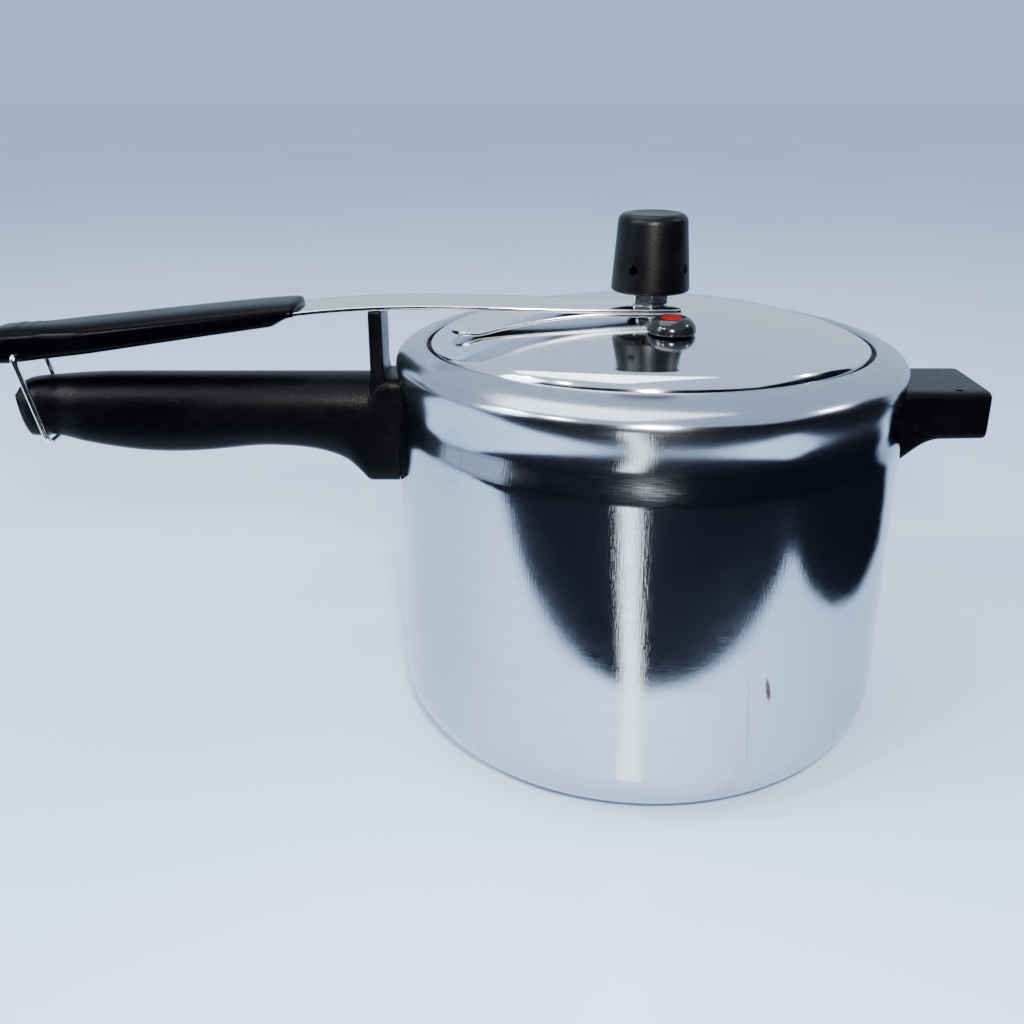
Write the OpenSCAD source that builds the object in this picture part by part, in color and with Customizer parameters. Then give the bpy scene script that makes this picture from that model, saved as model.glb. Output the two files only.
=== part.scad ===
// Stovetop pressure cooker with an inner oval lid.
// The lid closes from inside the pot: a spring arm lies across the lid, rests on a post of the
// long handle and is held down at its far end by a wire bail hooked under that handle.
// Millimetres, +Z up. The origin is the centre of the pot's flat underside.
// The long handle points to -X and the helper handle to +X.

/* [Pot] */
// Outside radius of the straight wall
pot_r = 110; // [90:1:132]
// Height of the shoulder's top above the base
pot_h = 178.8; // [146:0.2:216]
// Thickness of the wall
wall_t = 2.5; // [1.8:0.1:3.2]
// Thickness of the base
base_t = 3.5; // [2.8:0.1:5]
// Radius of the rounded bottom corner
corner_r = 28.5; // [18:0.5:34]
// Depth of the neck under the shoulder
neck_depth = 2.8; // [1:0.1:4]
// Height of the shoulder, from its widest ring to its top
shoulder_h = 9.3; // [8:0.1:12]
// Width of the ring between the wall and the mouth, along the handles
mouth_inset = 13.7; // [12:0.1:17]
// How much narrower than its length the mouth is, on each side
mouth_ovality = 8.2; // [7.2:0.1:9.5]
// Thickness of the shoulder ring above the gasket
ring_t = 4; // [3.2:0.1:5]

/* [Lid] */
// Thickness of the lid sheet
lid_t = 1.8; // [1.2:0.1:2.2]
// Gap between the lid's wall and the mouth
lid_gap = 1.6; // [1.2:0.1:2.2]
// Height of the lid's crown above the shoulder's top
lid_rise = 9.5; // [8:0.1:12]
// Height of the rounded edge of the lid
lid_edge_r = 8; // [5:0.5:9]
// Width of the rounded edge of the lid
lid_edge_w = 11.5; // [8:0.5:13]
// Radius of the crown along the handles
crown_rx = 400; // [330:10:600]
// Radius of the crown across the handles
crown_ry = 700; // [560:10:900]
// Width of the flange that carries the gasket
flange_w = 5.3; // [4.6:0.1:6]
// Height of the gasket
gasket_h = 5.6; // [4.8:0.1:7]
// How far the gasket stands out past the flange
gasket_lip = 2.2; // [1.6:0.1:2.4]
// Gap between the gasket and the shoulder ring
seal_gap = 0.15; // [0.05:0.05:0.3]

/* [Arm] */
// Width of the spring arm
arm_w = 28; // [22:1:32]
// Thickness of the spring arm
arm_t = 1.8; // [1.6:0.1:2.4]
// Height of the arch between the stem and the post
arm_arch = 1.5; // [1:0.1:3]
// Bending radius of the arm beyond the arch
arm_bend_r = 460; // [380:10:600]
// Slope of the arm inside the grip, in degrees
arm_slope = 7.4; // [6:0.2:8.8]
// Length of the arm past the stem
arm_tail = 12; // [10:0.5:16]
// Thickness of the leaf spring under the arm
leaf_t = 1.6; // [1.2:0.1:2]
// Length of the leaf spring from the stem to its round tip
leaf_len = 87; // [78:1:90]

/* [Valve stem and nut] */
// Diameter of the stem above the nut
stem_d = 8; // [7:0.1:9]
// Diameter of the steam bore
steam_d = 3; // [2:0.1:4]
// Height of the stem's tip above the arm
stem_h = 19; // [17:0.5:22]
// Width across the flats of the nut
nut_af = 14.5; // [13:0.5:16]
// Height of the nut
nut_h = 5.5; // [4:0.1:6]
// Thickness of the spacer between the lid and the leaf spring
spacer_t = 1.6; // [1.2:0.1:3]

/* [Weight] */
// Diameter of the weight's cap at its skirt
cap_d = 33.6; // [31:0.2:38]
// Diameter of the cap near its top
cap_top_d = 29.6; // [27:0.2:31]
// Height of the cap
cap_h = 32.2; // [30:0.2:38]
// Wall of the cap
cap_t = 2.6; // [2:0.1:3.2]
// Diameter of the metal core
core_d = 22; // [19:0.5:23]
// Diameter of the four steam vents
vent_d = 4; // [3:0.1:5]
// Height of the vents above the skirt
vent_z = 10.2; // [8:0.1:12]

/* [Safety valve] */
// Place of the safety valve from the stem, along and across the handles
safety_at = [5.5, -32]; // [-40:0.5:40]
// Diameter of the rubber button
safety_d = 20; // [17:0.5:24]
// Height of the rubber button
safety_h = 6.6; // [5:0.1:8]
// Diameter of the plug's head
plug_d = 9.6; // [8:0.1:11]

/* [Handles] */
// Reach of the long handle from the wall
handle_len = 167; // [150:1:190]
// Width of the long handle
handle_w = 30; // [28:0.5:34]
// Width of the long handle at its nose, between the legs of the bail
nose_w = 25.6; // [22:0.2:28]
// Thickness of the long handle at its belly
handle_t = 34.6; // [31:0.2:38]
// Depth of the long handle's root, down the wall
root_h = 47; // [44:0.5:54]
// Drop of the handle's top below the shoulder's top
handle_drop = 15.8; // [12:0.2:20]
// Thickness of the post that carries the arm
post_t = 6; // [5:0.1:8]
// Reach of the helper handle from the wall
helper_len = 36; // [32:0.5:42]
// Width of the helper handle
helper_w = 46; // [40:1:54]
// Thickness of the helper handle
helper_t = 21; // [20:0.5:26]

/* [Grip and bail] */
// Width of the grip on the arm
grip_w = 33; // [32:0.2:36]
// Width of the grip's outer end, between the legs of the bail
grip_end_w = 25.6; // [22:0.2:28]
// Distance of the grip's inner end from the wall
grip_start = 41; // [36:1:46]
// Length of the grip
grip_len = 138; // [130:1:146]
// Diameter of the bail wire
wire_d = 2.5; // [2:0.1:3]
// Distance of the bail's pivot from the grip's outer end
pivot_inset = 16; // [12:0.5:20]
// Lean of the hooked bail from the vertical, in degrees
bail_lean = 14.2; // [12:0.1:16]

/* [Fits] */
// Radial clearance of running fits
run_gap = 0.07; // [0.05:0.01:0.1]
// Clearance round pieces that are bolted together
seat_gap = 0.2; // [0.1:0.05:0.3]
// Clearance between pieces that move past each other
move_gap = 0.3; // [0.25:0.05:0.5]

/* [Hidden] */
$fn = 72;
eps = 0.01;
big = 400;

steel = "silver";
aluminium = "gainsboro";
black = [0.07, 0.07, 0.08];

// Pot levels
neck_span = 14.5;
bulge_z = pot_h - shoulder_h;
neck_z = bulge_z - neck_span;
neck_start = neck_z - neck_span;
crown_r = pot_r - 30;
mouth_a = pot_r - mouth_inset;
oval = (mouth_a - mouth_ovality) / mouth_a;
ring_z = pot_h - ring_t;
ring_flat_w = 7.4;
ring_flat_r = pot_r - ring_flat_w;

// Lid levels
wall_r = mouth_a - lid_gap;
flange_r = wall_r + flange_w;
gasket_r = flange_r + gasket_lip;
gasket_top = ring_z - seal_gap;
gasket_bottom = gasket_top - gasket_h;
flange_z = gasket_bottom + (gasket_h - lid_t) / 2;
edge_drop = 2.8;
edge_z = pot_h - edge_drop;
crown_z = pot_h + lid_rise;

// Arm levels
lid_seat = 0.1;
leaf_z = crown_z + lid_seat + spacer_t;
arm_z0 = leaf_z + leaf_t + arm_t;
flat_x = -14;
arch_x = -pot_r / 1.1;
arch_end_x = arch_x - arm_bend_r * sin(arm_slope);
arch_z = arm_z0 + arm_arch;
arch_end_z = arch_z - arm_bend_r * (1 - cos(arm_slope));
grip_x0 = -pot_r - grip_start;
grip_x1 = grip_x0 - grip_len;
pivot_to_arm = 14;
arm_end_x = grip_x1 + pivot_inset + pivot_to_arm;
tang_w = 18;
tang_taper = 14;
tang_x = grip_x0 - 38;
// Top of the arm at x
function arm_top(x) =
    x > flat_x ? arm_z0
    : x > arch_x ? arm_z0 + arm_arch * (1 - cos(180 * (flat_x - x) / (flat_x - arch_x))) / 2
    : x > arch_end_x ? arch_z - arm_bend_r + sqrt(pow(arm_bend_r, 2) - pow(arch_x - x, 2))
    : arch_end_z - (arch_end_x - x) * tan(arm_slope);

// Stem, nut and weight levels
stem_top = arm_z0 + stem_h;
cap_lift = 5.9;
cap_z = arm_z0 + cap_lift;
thread_d = 10;

// Long handle levels
handle_top = pot_h - handle_drop;
belly_z = handle_top - handle_t;
handle_x = -pot_r - handle_len;
post_out = 7.6;
post_x = -pot_r - post_out;
pivot_z = arm_top(post_x) - arm_t;

// Bail, from its pivot in the grip to the cross wire under the handle's nose
bail_x = grip_x1 + pivot_inset;
pivot_drop = 3.3;
bail_z = arm_top(bail_x) - pivot_drop;
nose_rise = 7.1;
nose_z = belly_z + nose_rise;
wire_z = nose_z - 1.3;
bail_len = (bail_z - wire_z) / cos(bail_lean);
wire_x = bail_x + bail_len * sin(bail_lean);
leg_gap = move_gap + 0.4;
bail_half = max(grip_end_w, nose_w) / 2 + leg_gap + wire_d / 2;

// Bracket levels: bottom of the plate, its top, and the rivets; the tongue is at its top edge
long_plate = [handle_top - 39, handle_top - 23, handle_top - 31];
helper_drop = 19.3;
helper_top = pot_h - helper_drop;
helper_plate = [helper_top - 29.2, helper_top - 11.5, helper_top - 24.4];
tongue_t = 3;
tongue_w = 14;
long_tongue = 38;
helper_tongue = 22;
plate_t = 2;
rivet_d = 5;
rivet_side = 7.2;
plate_side = 11.3;
rivet_turn = asin(rivet_side / pot_r);
plate_turn = asin(plate_side / pot_r);
screw_d = 4.8;
screw_head_d = 9;
screw_head_t = 2.6;
long_screw_x = 28;
helper_screw_x = 17;

// Point on a cubic curve with two guide points
function curve_at(a, b, c, d, t) =
    pow(1 - t, 3) * a + 3 * pow(1 - t, 2) * t * b + 3 * (1 - t) * t * t * c + pow(t, 3) * d;
// Points along that curve, without its first one
function curve(a, b, c, d, n = 8) = [for (i = [1:n]) curve_at(a, b, c, d, i / n)];

// ---- Pot ----

// Wall radius at height z: straight below, drawn in at the neck, full again at the bulge
function wall_at(z) =
    z < neck_start ? pot_r
    : z < neck_z ? pot_r - neck_depth * (1 - cos(180 * (z - neck_start) / (neck_z - neck_start))) / 2
    : pot_r - neck_depth * (1 + cos(180 * (z - neck_z) / (bulge_z - neck_z))) / 2;

function outer_corner(n = 10) =
    [for (i = [0:n]) let (a = 90 * i / n)
        [pot_r - corner_r * (1 - sin(a)), corner_r * (1 - cos(a))]];
function inner_corner(n = 10) =
    let (r = corner_r - wall_t)
    [for (i = [n:-1:0]) let (a = 90 * i / n)
        [pot_r - wall_t - r * (1 - sin(a)), base_t + r * (1 - cos(a))]];
function shoulder_top(n = 10) =
    [for (i = [1:n]) let (a = 90 * i / n)
        [crown_r + (pot_r - crown_r) * pow(cos(a), 0.8), bulge_z + shoulder_h * pow(sin(a), 0.8)]];
function neck_points(inset, n = 14) =
    [for (i = [0:n]) let (z = neck_start + (bulge_z - neck_start) * i / n) [wall_at(z) - inset, z]];
function reversed(list) = [for (i = [len(list) - 1:-1:0]) list[i]];

module pot_body() {
    inner_bulge = [pot_r - wall_t, bulge_z];
    ring_edge = [ring_flat_r, ring_z];
    lift = [0, (ring_z - bulge_z) * 0.55];
    out = [(inner_bulge[0] - ring_flat_r) * 0.55, 0];
    color(aluminium)
    difference() {
        rotate_extrude($fn = 180)
            polygon(concat(
                [[0, 0]], outer_corner(), neck_points(0), shoulder_top(), [[crown_r - 2, pot_h]],
                [[crown_r - 2, ring_z], ring_edge],
                curve(ring_edge, ring_edge + out, inner_bulge + lift, inner_bulge, 5),
                reversed([for (p = neck_points(wall_t)) if (p[1] < bulge_z - eps) p]),
                inner_corner(), [[0, base_t]]));
        oval_column(mouth_a, pot_h - 30, pot_h + 10);
        at_rivets(180, long_plate[2]) cylinder(d = rivet_d + 2 * run_gap, h = 20, center = true);
        at_rivets(0, helper_plate[2]) cylinder(d = rivet_d + 2 * run_gap, h = 20, center = true);
    }
}

function mid(span) = (span[0] + span[1]) / 2;

module oval_column(a, z0, z1) {
    translate([0, 0, z0]) scale([1, oval, 1]) cylinder(r = a, h = z1 - z0, $fn = 180);
}

// Places its children at both rivets of a bracket, pointing out through the wall
module at_rivets(azimuth, z) {
    for (side = [-1, 1])
        rotate([0, 0, azimuth + side * rivet_turn])
            translate([pot_r - wall_t / 2, 0, z]) rotate([0, 90, 0]) children();
}

// ---- Brackets, rivets and screws of both handles ----

// Curved plate against the wall, with a tongue that reaches out at its top edge
module bracket(azimuth, plate, tongue_len, screw_x) {
    color(steel)
    rotate([0, 0, azimuth])
    difference() {
        union() {
            rotate([0, 0, -plate_turn]) rotate_extrude(angle = 2 * plate_turn, $fn = 180)
                translate([pot_r + 0.1, plate[0]]) square([plate_t, plate[1] - plate[0]]);
            translate([pot_r + 1, -tongue_w / 2, plate[1] - tongue_t])
                cube([tongue_len, tongue_w, tongue_t]);
        }
        translate([pot_r + screw_x, 0, plate[0]]) cylinder(d = screw_d + 2 * run_gap, h = 60);
        rotate([0, 0, -azimuth]) at_rivets(azimuth, plate[2])
            cylinder(d = rivet_d + 2 * run_gap, h = 20, center = true);
    }
}

// Room for the bracket and its rivet heads inside a handle
module bracket_room(azimuth, plate, tongue_len) {
    side = plate_side + 0.5;
    head_room = 5.2;
    rotate([0, 0, azimuth]) {
        translate([pot_r - 8, -side, plate[0] - seat_gap])
            cube([8 + head_room, 2 * side, plate[1] - plate[0] + 2 * seat_gap]);
        translate([pot_r - 5, -tongue_w / 2 - seat_gap, plate[1] - tongue_t - seat_gap])
            cube([6 + tongue_len + seat_gap, tongue_w + 2 * seat_gap, tongue_t + 2 * seat_gap]);
    }
}

module rivets(azimuth, plate) {
    head_t = 1.8;
    inner = wall_t / 2 + 0.2;
    outer = wall_t / 2 + 2.4;
    color(aluminium)
    at_rivets(azimuth, plate[2]) {
        translate([0, 0, -inner - eps]) cylinder(d = rivet_d, h = inner + outer + 2 * eps);
        translate([0, 0, -inner - head_t]) cylinder(d1 = 6, d2 = 8, h = head_t);
        translate([0, 0, outer]) cylinder(d1 = 7.4, d2 = 5.6, h = head_t);
    }
}

// Screw from below, its head in the handle's counterbore
module screw(x, head_z, plate) {
    color(steel)
    translate([x, 0, 0])
    difference() {
        union() {
            translate([0, 0, head_z]) cylinder(d = screw_head_d, h = screw_head_t);
            translate([0, 0, head_z + screw_head_t - eps])
                cylinder(d = screw_d, h = plate[1] - 0.4 - head_z - screw_head_t);
        }
        translate([-screw_head_d, -0.6, head_z - 1]) cube([2 * screw_head_d, 1.2, 2]);
    }
}

// Bore and counterbore for that screw
module screw_bore(x, head_z, plate) {
    translate([x, 0, 0]) {
        translate([0, 0, head_z - 30]) cylinder(d = screw_head_d + 2 * seat_gap, h = 30 + screw_head_t);
        translate([0, 0, head_z]) cylinder(d = screw_d + 2 * run_gap, h = plate[1] - head_z);
    }
}

long_head_z = handle_top - 32.6;
helper_head_z = helper_top - 20.4;

module long_bracket() bracket(180, long_plate, long_tongue, long_screw_x);
module long_rivets() rivets(180, long_plate);
module long_screw() screw(-pot_r - long_screw_x, long_head_z, long_plate);
module helper_bracket() bracket(0, helper_plate, helper_tongue, helper_screw_x);
module helper_rivets() rivets(0, helper_plate);
module helper_screw() screw(pot_r + helper_screw_x, helper_head_z, helper_plate);

// ---- Long handle ----

// Side outline, x away from the wall and y up
module long_side() {
    root = [-6, handle_top - root_h];
    toe = [13.5, handle_top - root_h + 0.4];
    waist = [54, belly_z + 2.9];
    belly = [0.6 * handle_len, belly_z];
    lip = [handle_len - 17, belly_z + 7.4];
    notch_top = wire_z + wire_d / 2 + leg_gap;
    nose = [-wire_x - pot_r + wire_d / 2 + move_gap, nose_z];
    tip = [handle_len, handle_top - 8];
    end = [handle_len - 12, handle_top - 1.7];
    top = [handle_len - 52, handle_top];
    polygon(concat(
        [root, toe],
        curve(toe, toe + [9, 10], waist - [22, 0.6], waist),
        curve(waist, waist + [14, 0.6], belly - [22, 0], belly),
        curve(belly, belly + [22, 0], lip - [12, 2.4], lip),
        [[lip[0], notch_top], [nose[0], notch_top], nose],
        curve(nose + [7.5, 0], nose + [9, 0.4], tip - [0.2, 10], tip),
        curve(tip, tip + [0, 5], end + [9, -0.8], end, 5),
        curve(end, end - [14, -1.2], top + [14, 0], top, 5),
        [[-6, handle_top]]));
}

// Cross section, crowned on top, with its lower edges rounded
module long_section() {
    w = handle_w / 2;
    t = handle_top;
    edge = [w, t - 14];
    foot = [w, t - root_h + 4];
    right = concat(
        [foot, edge],
        curve(edge, edge + [0, 7.6], [w - 4.6, t - 1.4], [w - 12, t - 0.2], 9),
        [[0, t]]);
    polygon(concat(
        [[0, foot[1] - 4], [w - 4, foot[1] - 4]],
        curve([w - 4, foot[1] - 4], [w - 1.8, foot[1] - 4], [w, foot[1] - 1.8], foot, 4),
        right,
        [for (p = reversed(right)) if (p[0] > eps) [-p[0], p[1]]],
        reversed([for (p = curve([w - 4, foot[1] - 4], [w - 1.8, foot[1] - 4],
            [w, foot[1] - 1.8], foot, 4)) if (p[1] < foot[1] - eps) [-p[0], p[1]]]),
        [[4 - w, foot[1] - 4]]));
}

// Plan, x away from the wall: full width at the wall, drawn in between the legs of the bail
module long_plan() {
    w = handle_w / 2;
    n = nose_w / 2;
    neck = [-wire_x - pot_r - 16, w];
    tip = [-wire_x - pot_r - 2, n];
    end = [handle_len, n - 3.4];
    side = concat(
        [[-6, w], neck],
        curve(neck, neck + [8, 0], tip - [7, 0], tip, 6),
        curve(tip, tip + [9, 0], end + [-0.4, 2.6], end, 6));
    polygon(concat(side, [for (p = reversed(side)) [p[0], -p[1]]]));
}

// Solid of the pot's wall, grown by a gap, which the handles' roots are fitted to
module wall_form(gap) {
    rotate_extrude($fn = 180)
        polygon(concat([[0, neck_start - 60], [pot_r + gap, neck_start - 60]],
            neck_points(-gap), [[0, bulge_z]]));
}

module long_handle() {
    color(black)
    difference() {
        union() {
            intersection() {
                translate([-pot_r, handle_w / 2, 0]) rotate([90, 0, 0]) mirror([1, 0, 0])
                    linear_extrude(handle_w) long_side();
                rotate([90, 0, -90]) linear_extrude(2 * big, center = true) long_section();
                translate([-pot_r, 0, 0]) mirror([1, 0, 0]) linear_extrude(big) long_plan();
            }
            post(pivot_z - move_gap);
        }
        wall_form(seat_gap);
        bracket_room(180, long_plate, long_tongue);
        screw_bore(-pot_r - long_screw_x, long_head_z, long_plate);
    }
}

// Square post by the wall, rounded along its top so that the arm can rock on it
module post(top_z) {
    crest_r = 12;
    width = arm_w;
    intersection() {
        translate([post_x - post_t / 2, -width / 2, handle_top - 14])
            cube([post_t, width, top_z - handle_top + 14]);
        translate([post_x, 0, top_z - crest_r]) rotate([90, 0, 0])
            linear_extrude(width + 2, center = true)
                union() {
                    circle(crest_r);
                    translate([-crest_r, -60]) square([2 * crest_r, 60]);
                }
    }
}

// ---- Helper handle ----

helper_toe = 9.5;
helper_root = 8;

module helper_side() {
    toe = [0, helper_top - helper_t - helper_toe];
    heel = [15, helper_top - helper_t - 0.4];
    polygon(concat(
        [toe],
        curve(toe, toe + [5, 4], heel - [7, 1], heel, 6),
        [[helper_len - 4, helper_top - helper_t], [helper_len - 2, helper_top - helper_t + 1.6]],
        [[helper_len, helper_top - 1.6], [helper_len - 1.4, helper_top], [0, helper_top]]));
}

module helper_plan() {
    r = 3;
    union() {
        square([helper_len - r, helper_w]);
        translate([0, r]) square([helper_len, helper_w - 2 * r]);
        for (y = [r, helper_w - r]) translate([helper_len - r, y]) circle(r);
    }
}

module helper_handle() {
    color(black)
    difference() {
        intersection() {
            translate([pot_r, helper_w / 2, 0]) rotate([90, 0, 0])
                linear_extrude(helper_w) union() {
                    helper_side();
                    translate([-helper_root, helper_top - helper_t - helper_toe])
                        square([helper_root + eps, helper_t + helper_toe]);
                }
            translate([pot_r, -helper_w / 2, helper_top - 40]) linear_extrude(50) union() {
                helper_plan();
                translate([-helper_root, 0]) square([helper_root + 1, helper_w]);
            }
        }
        wall_form(seat_gap);
        bracket_room(0, helper_plate, helper_tongue);
        screw_bore(pot_r + helper_screw_x, helper_head_z, helper_plate);
    }
}

// ---- Lid ----

// Solid under the crown: a cap curved with rx along x and ry along y, its top at z
module crown(z, rx, ry) {
    translate([0, 0, z - ry]) rotate([0, -90, 0]) rotate([0, 0, -11])
        rotate_extrude(angle = 22, $fn = 360) intersection() {
            translate([ry - rx, 0]) circle(rx, $fn = 360);
            translate([ry - 60, -130]) square([61, 260]);
        }
}

// Oval lid body shrunk by the given amount, without its crown
module lid_form(shrink) {
    reach = [lid_edge_w - shrink, lid_edge_r - shrink];
    edge = [wall_r - lid_edge_w, edge_z];
    scale([1, oval, 1]) rotate_extrude($fn = 180)
        polygon(concat(
            [[0, gasket_bottom - 5], [wall_r - shrink, gasket_bottom - 5]],
            [for (i = [0:8]) let (a = 90 * i / 8) edge + [reach[0] * cos(a), reach[1] * sin(a)]],
            [[0, crown_z + 6 - shrink]]));
}

module lid_shell() {
    color(aluminium)
    difference() {
        union() {
            intersection() {
                lid_form(0);
                crown(crown_z, crown_rx, crown_ry);
                translate([-big / 2, -big / 2, flange_z]) cube([big, big, 60]);
            }
            oval_column(flange_r, flange_z, flange_z + lid_t);
        }
        intersection() {
            lid_form(lid_t);
            crown(crown_z - lid_t, crown_rx - lid_t, crown_ry - lid_t);
        }
        translate([0, 0, crown_z - 10]) cylinder(d = thread_d + 2 * run_gap, h = 20);
        translate([safety_at[0], safety_at[1], crown_z - 15]) cylinder(d = 12, h = 30);
    }
}

module lid_gasket() {
    color([0.16, 0.16, 0.17])
    difference() {
        oval_ring(gasket_r, wall_r + 1.9, gasket_bottom, gasket_top);
        oval_column(flange_r + seat_gap, flange_z, flange_z + lid_t);
    }
}

module oval_ring(outer, inner, z0, z1) {
    difference() {
        oval_column(outer, z0, z1);
        oval_column(inner, z0 - 1, z1 + 1);
    }
}

// ---- Stem and its fastening ----

seal_d = 19;
under_z = crown_z - lid_t;

module valve_stem() {
    color("darkgray")
    difference() {
        union() {
            translate([0, 0, under_z - 9]) cylinder(d = thread_d, h = 9 + arm_z0 - under_z + nut_h - 0.6);
            translate([0, 0, arm_z0]) cylinder(d = stem_d, h = stem_h);
        }
        translate([0, 0, under_z - 20]) cylinder(d = steam_d, h = 100);
        translate([0, 0, stem_top - 1.2]) cylinder(d1 = steam_d, d2 = steam_d + 2.4, h = 1.2 + eps);
    }
}

module washer(outer, z, t) {
    translate([0, 0, z])
    difference() {
        cylinder(d = outer, h = t);
        translate([0, 0, -1]) cylinder(d = thread_d + 2 * run_gap, h = t + 2);
    }
}

module stem_spacer() color(steel) washer(seal_d, leaf_z - spacer_t, spacer_t);
module stem_seal() color("dimgray") washer(seal_d, under_z - 2.3, 2);

module hex_nut(af, z, h) {
    translate([0, 0, z])
    difference() {
        intersection() {
            rotate([0, 0, 30]) cylinder(d = af / cos(30), h = h, $fn = 6);
            rotate_extrude() polygon([
                [0, 0], [af / 2 - 0.2, 0], [af / 2 + 1.6, 0.9], [af / 2 + 1.6, h - 0.9],
                [af / 2 - 0.2, h], [0, h]]);
        }
        translate([0, 0, -1]) cylinder(d = thread_d, h = h + 2);
    }
}

module arm_nut() color(steel) hex_nut(nut_af, arm_z0, nut_h);
module stem_lower_nut() color(steel) hex_nut(17, under_z - 2.3 - 5, 5);

// ---- Spring arm and leaf spring ----

// One edge of the narrower tang inside the grip
function tang_edge(gap) = [
    [tang_x + eps, arm_w / 2 + gap], [tang_x - tang_taper, tang_w / 2 + gap],
    [arm_end_x - gap, tang_w / 2 + gap]];

module spring_arm() {
    xs = concat(
        [arm_tail, flat_x],
        [for (i = [1:8]) flat_x + (arch_x - flat_x) * i / 8],
        [for (i = [1:8]) arch_x + (arch_end_x - arch_x) * i / 8],
        [arm_end_x]);
    top = [for (x = xs) [x, arm_top(x)]];
    color(steel)
    difference() {
        intersection() {
            rotate([90, 0, 0]) linear_extrude(arm_w, center = true)
                polygon(concat(top, [for (p = reversed(top)) p - [0, arm_t]]));
            translate([0, 0, arm_z0 - 40]) linear_extrude(80) union() {
                strip_plan(tang_x, 5);
                polygon(concat(tang_edge(0), [for (p = reversed(tang_edge(0))) [p[0], -p[1]]]));
            }
        }
        cylinder(d = thread_d + 2 * run_gap, h = big);
        at_grip_rivets() cylinder(d = grip_rivet_d + 2 * run_gap, h = big, center = true);
    }
}

// Plan of a strip from x to its rounded outer corners past the stem
module strip_plan(x, r) {
    union() {
        translate([x, -arm_w / 2]) square([arm_tail - r - x, arm_w]);
        translate([x, -arm_w / 2 + r]) square([arm_tail - x, arm_w - 2 * r]);
        for (side = [-1, 1]) translate([arm_tail - r, side * (arm_w / 2 - r)]) circle(r);
    }
}

// Underside of the leaf spring: flat at the stem, then down to where it presses on the crown
function crown_at(x, y) = crown_z - x * x / (2 * crown_rx) - y * y / (2 * crown_ry);
touch_x = -0.84 * leaf_len;
touch_z = crown_at(touch_x, 0) + 0.3;

module leaf_spring() {
    start = [-22, leaf_z];
    touch = [touch_x, touch_z];
    tip = [-leaf_len, touch_z - 0.2];
    bottom = concat(
        [[arm_tail, leaf_z], start],
        curve(start, start - [16, 0.4], touch + [18, 4.6], touch, 8),
        [tip]);
    color(steel)
    difference() {
        intersection() {
            rotate([90, 0, 0]) linear_extrude(arm_w, center = true)
                polygon(concat(bottom, [for (p = reversed(bottom)) p + [0, leaf_t]]));
            translate([0, 0, touch_z - 5]) linear_extrude(40) union() {
                strip_plan(-leaf_len + arm_w / 2, 5);
                translate([-leaf_len + arm_w / 2, 0]) circle(arm_w / 2);
            }
        }
        cylinder(d = thread_d + 2 * run_gap, h = big);
    }
}

// ---- Grip on the arm ----

grip_rivet_d = 4;
arm_room = 0.05;
grip_mid_z = arm_top(mid([grip_x0, grip_x1])) - arm_t / 2;

module at_grip_rivets() {
    for (x = [grip_x0 - 33, arm_end_x + 8]) translate([x, 0, arm_top(x) - arm_t / 2]) children();
}

// Side outline of both halves together
module grip_side() {
    a0 = arm_top(grip_x0);
    a1 = arm_top(grip_x1);
    top0 = [grip_x0, a0 + 3.2];
    top1 = [grip_x1 + 20, arm_top(grip_x1 + 20) + 7.6];
    low1 = [grip_x1 + 12, arm_top(grip_x1 + 12) - 7.4];
    low0 = [grip_x0 - 10, a0 - 7];
    polygon(concat(
        [[grip_x0 + 0.6, a0 - 1], top0],
        curve(top0, top0 + [-30, -1.2], top1 + [36, 2.6], top1),
        curve(top1, top1 + [-14, -0.3], [grip_x1, a1 + 9], [grip_x1, a1 + 2], 6),
        curve([grip_x1, a1 + 2], [grip_x1, a1 - 5], low1 + [-9, -0.4], low1, 6),
        curve(low1, low1 + [30, 3.6], low0 + [-30, -3.8], low0),
        [[grip_x0 - 4, a0 - 3.4], [grip_x0 - 4, a0 - 1]]));
}

// Cross section along the arm: rounded bar, drawn in between the legs of the bail
module grip_bar() {
    w = grip_w / 2;
    n = grip_end_w / 2;
    neck = [bail_x + 34, w];
    tip = [bail_x + 7, n];
    end = [grip_x1, n - 5];
    nose = [grip_x0 + 1, 0];
    side = concat(
        curve(nose, nose + [0, 13], [grip_x0 - 0.6, w], [grip_x0 - 4, w], 6),
        [neck],
        curve(neck, neck - [12, 0], tip + [10, 0], tip, 6),
        curve(tip, tip - [16, 0], end + [0, 3.6], end, 6));
    intersection() {
        translate([mid([grip_x0, grip_x1]), 0, grip_mid_z + 1.4])
            rotate([0, 90 - arm_slope + 0.4, 0])
            linear_extrude(grip_len + 20, center = true) grip_section();
        translate([0, 0, grip_mid_z - 60]) linear_extrude(120)
            polygon(concat(side, [for (p = reversed(side)) [p[0], -p[1]]]));
    }
}

// Rounded section, x down and y across
module grip_section() {
    w = grip_w / 2;
    up = -8.4;
    down = 10;
    side = concat(
        [[up, w - 8]],
        curve([up, w - 8], [up, w - 3], [up + 3.2, w], [up + 8, w], 6),
        curve([up + 8, w], [down - 2, w], [down, w - 1.5], [down, w - 5], 6));
    polygon(concat(side, [for (p = reversed(side)) [p[0], -p[1]]]));
}

module grip_block() {
    intersection() {
        rotate([90, 0, 0]) linear_extrude(grip_w, center = true) grip_side();
        grip_bar();
    }
}

// Everything below the arm's underside
module below_arm() {
    xs = [grip_x0 + 2, for (i = [1:4]) grip_x0 + (arch_end_x - grip_x0) * i / 4, grip_x1 - 5];
    rotate([90, 0, 0]) linear_extrude(big, center = true)
        polygon(concat(
            [for (x = xs) [x, arm_top(x) - arm_t - arm_room]],
            [[grip_x1 - 5, 0], [grip_x0 + 2, 0]]));
}

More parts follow.
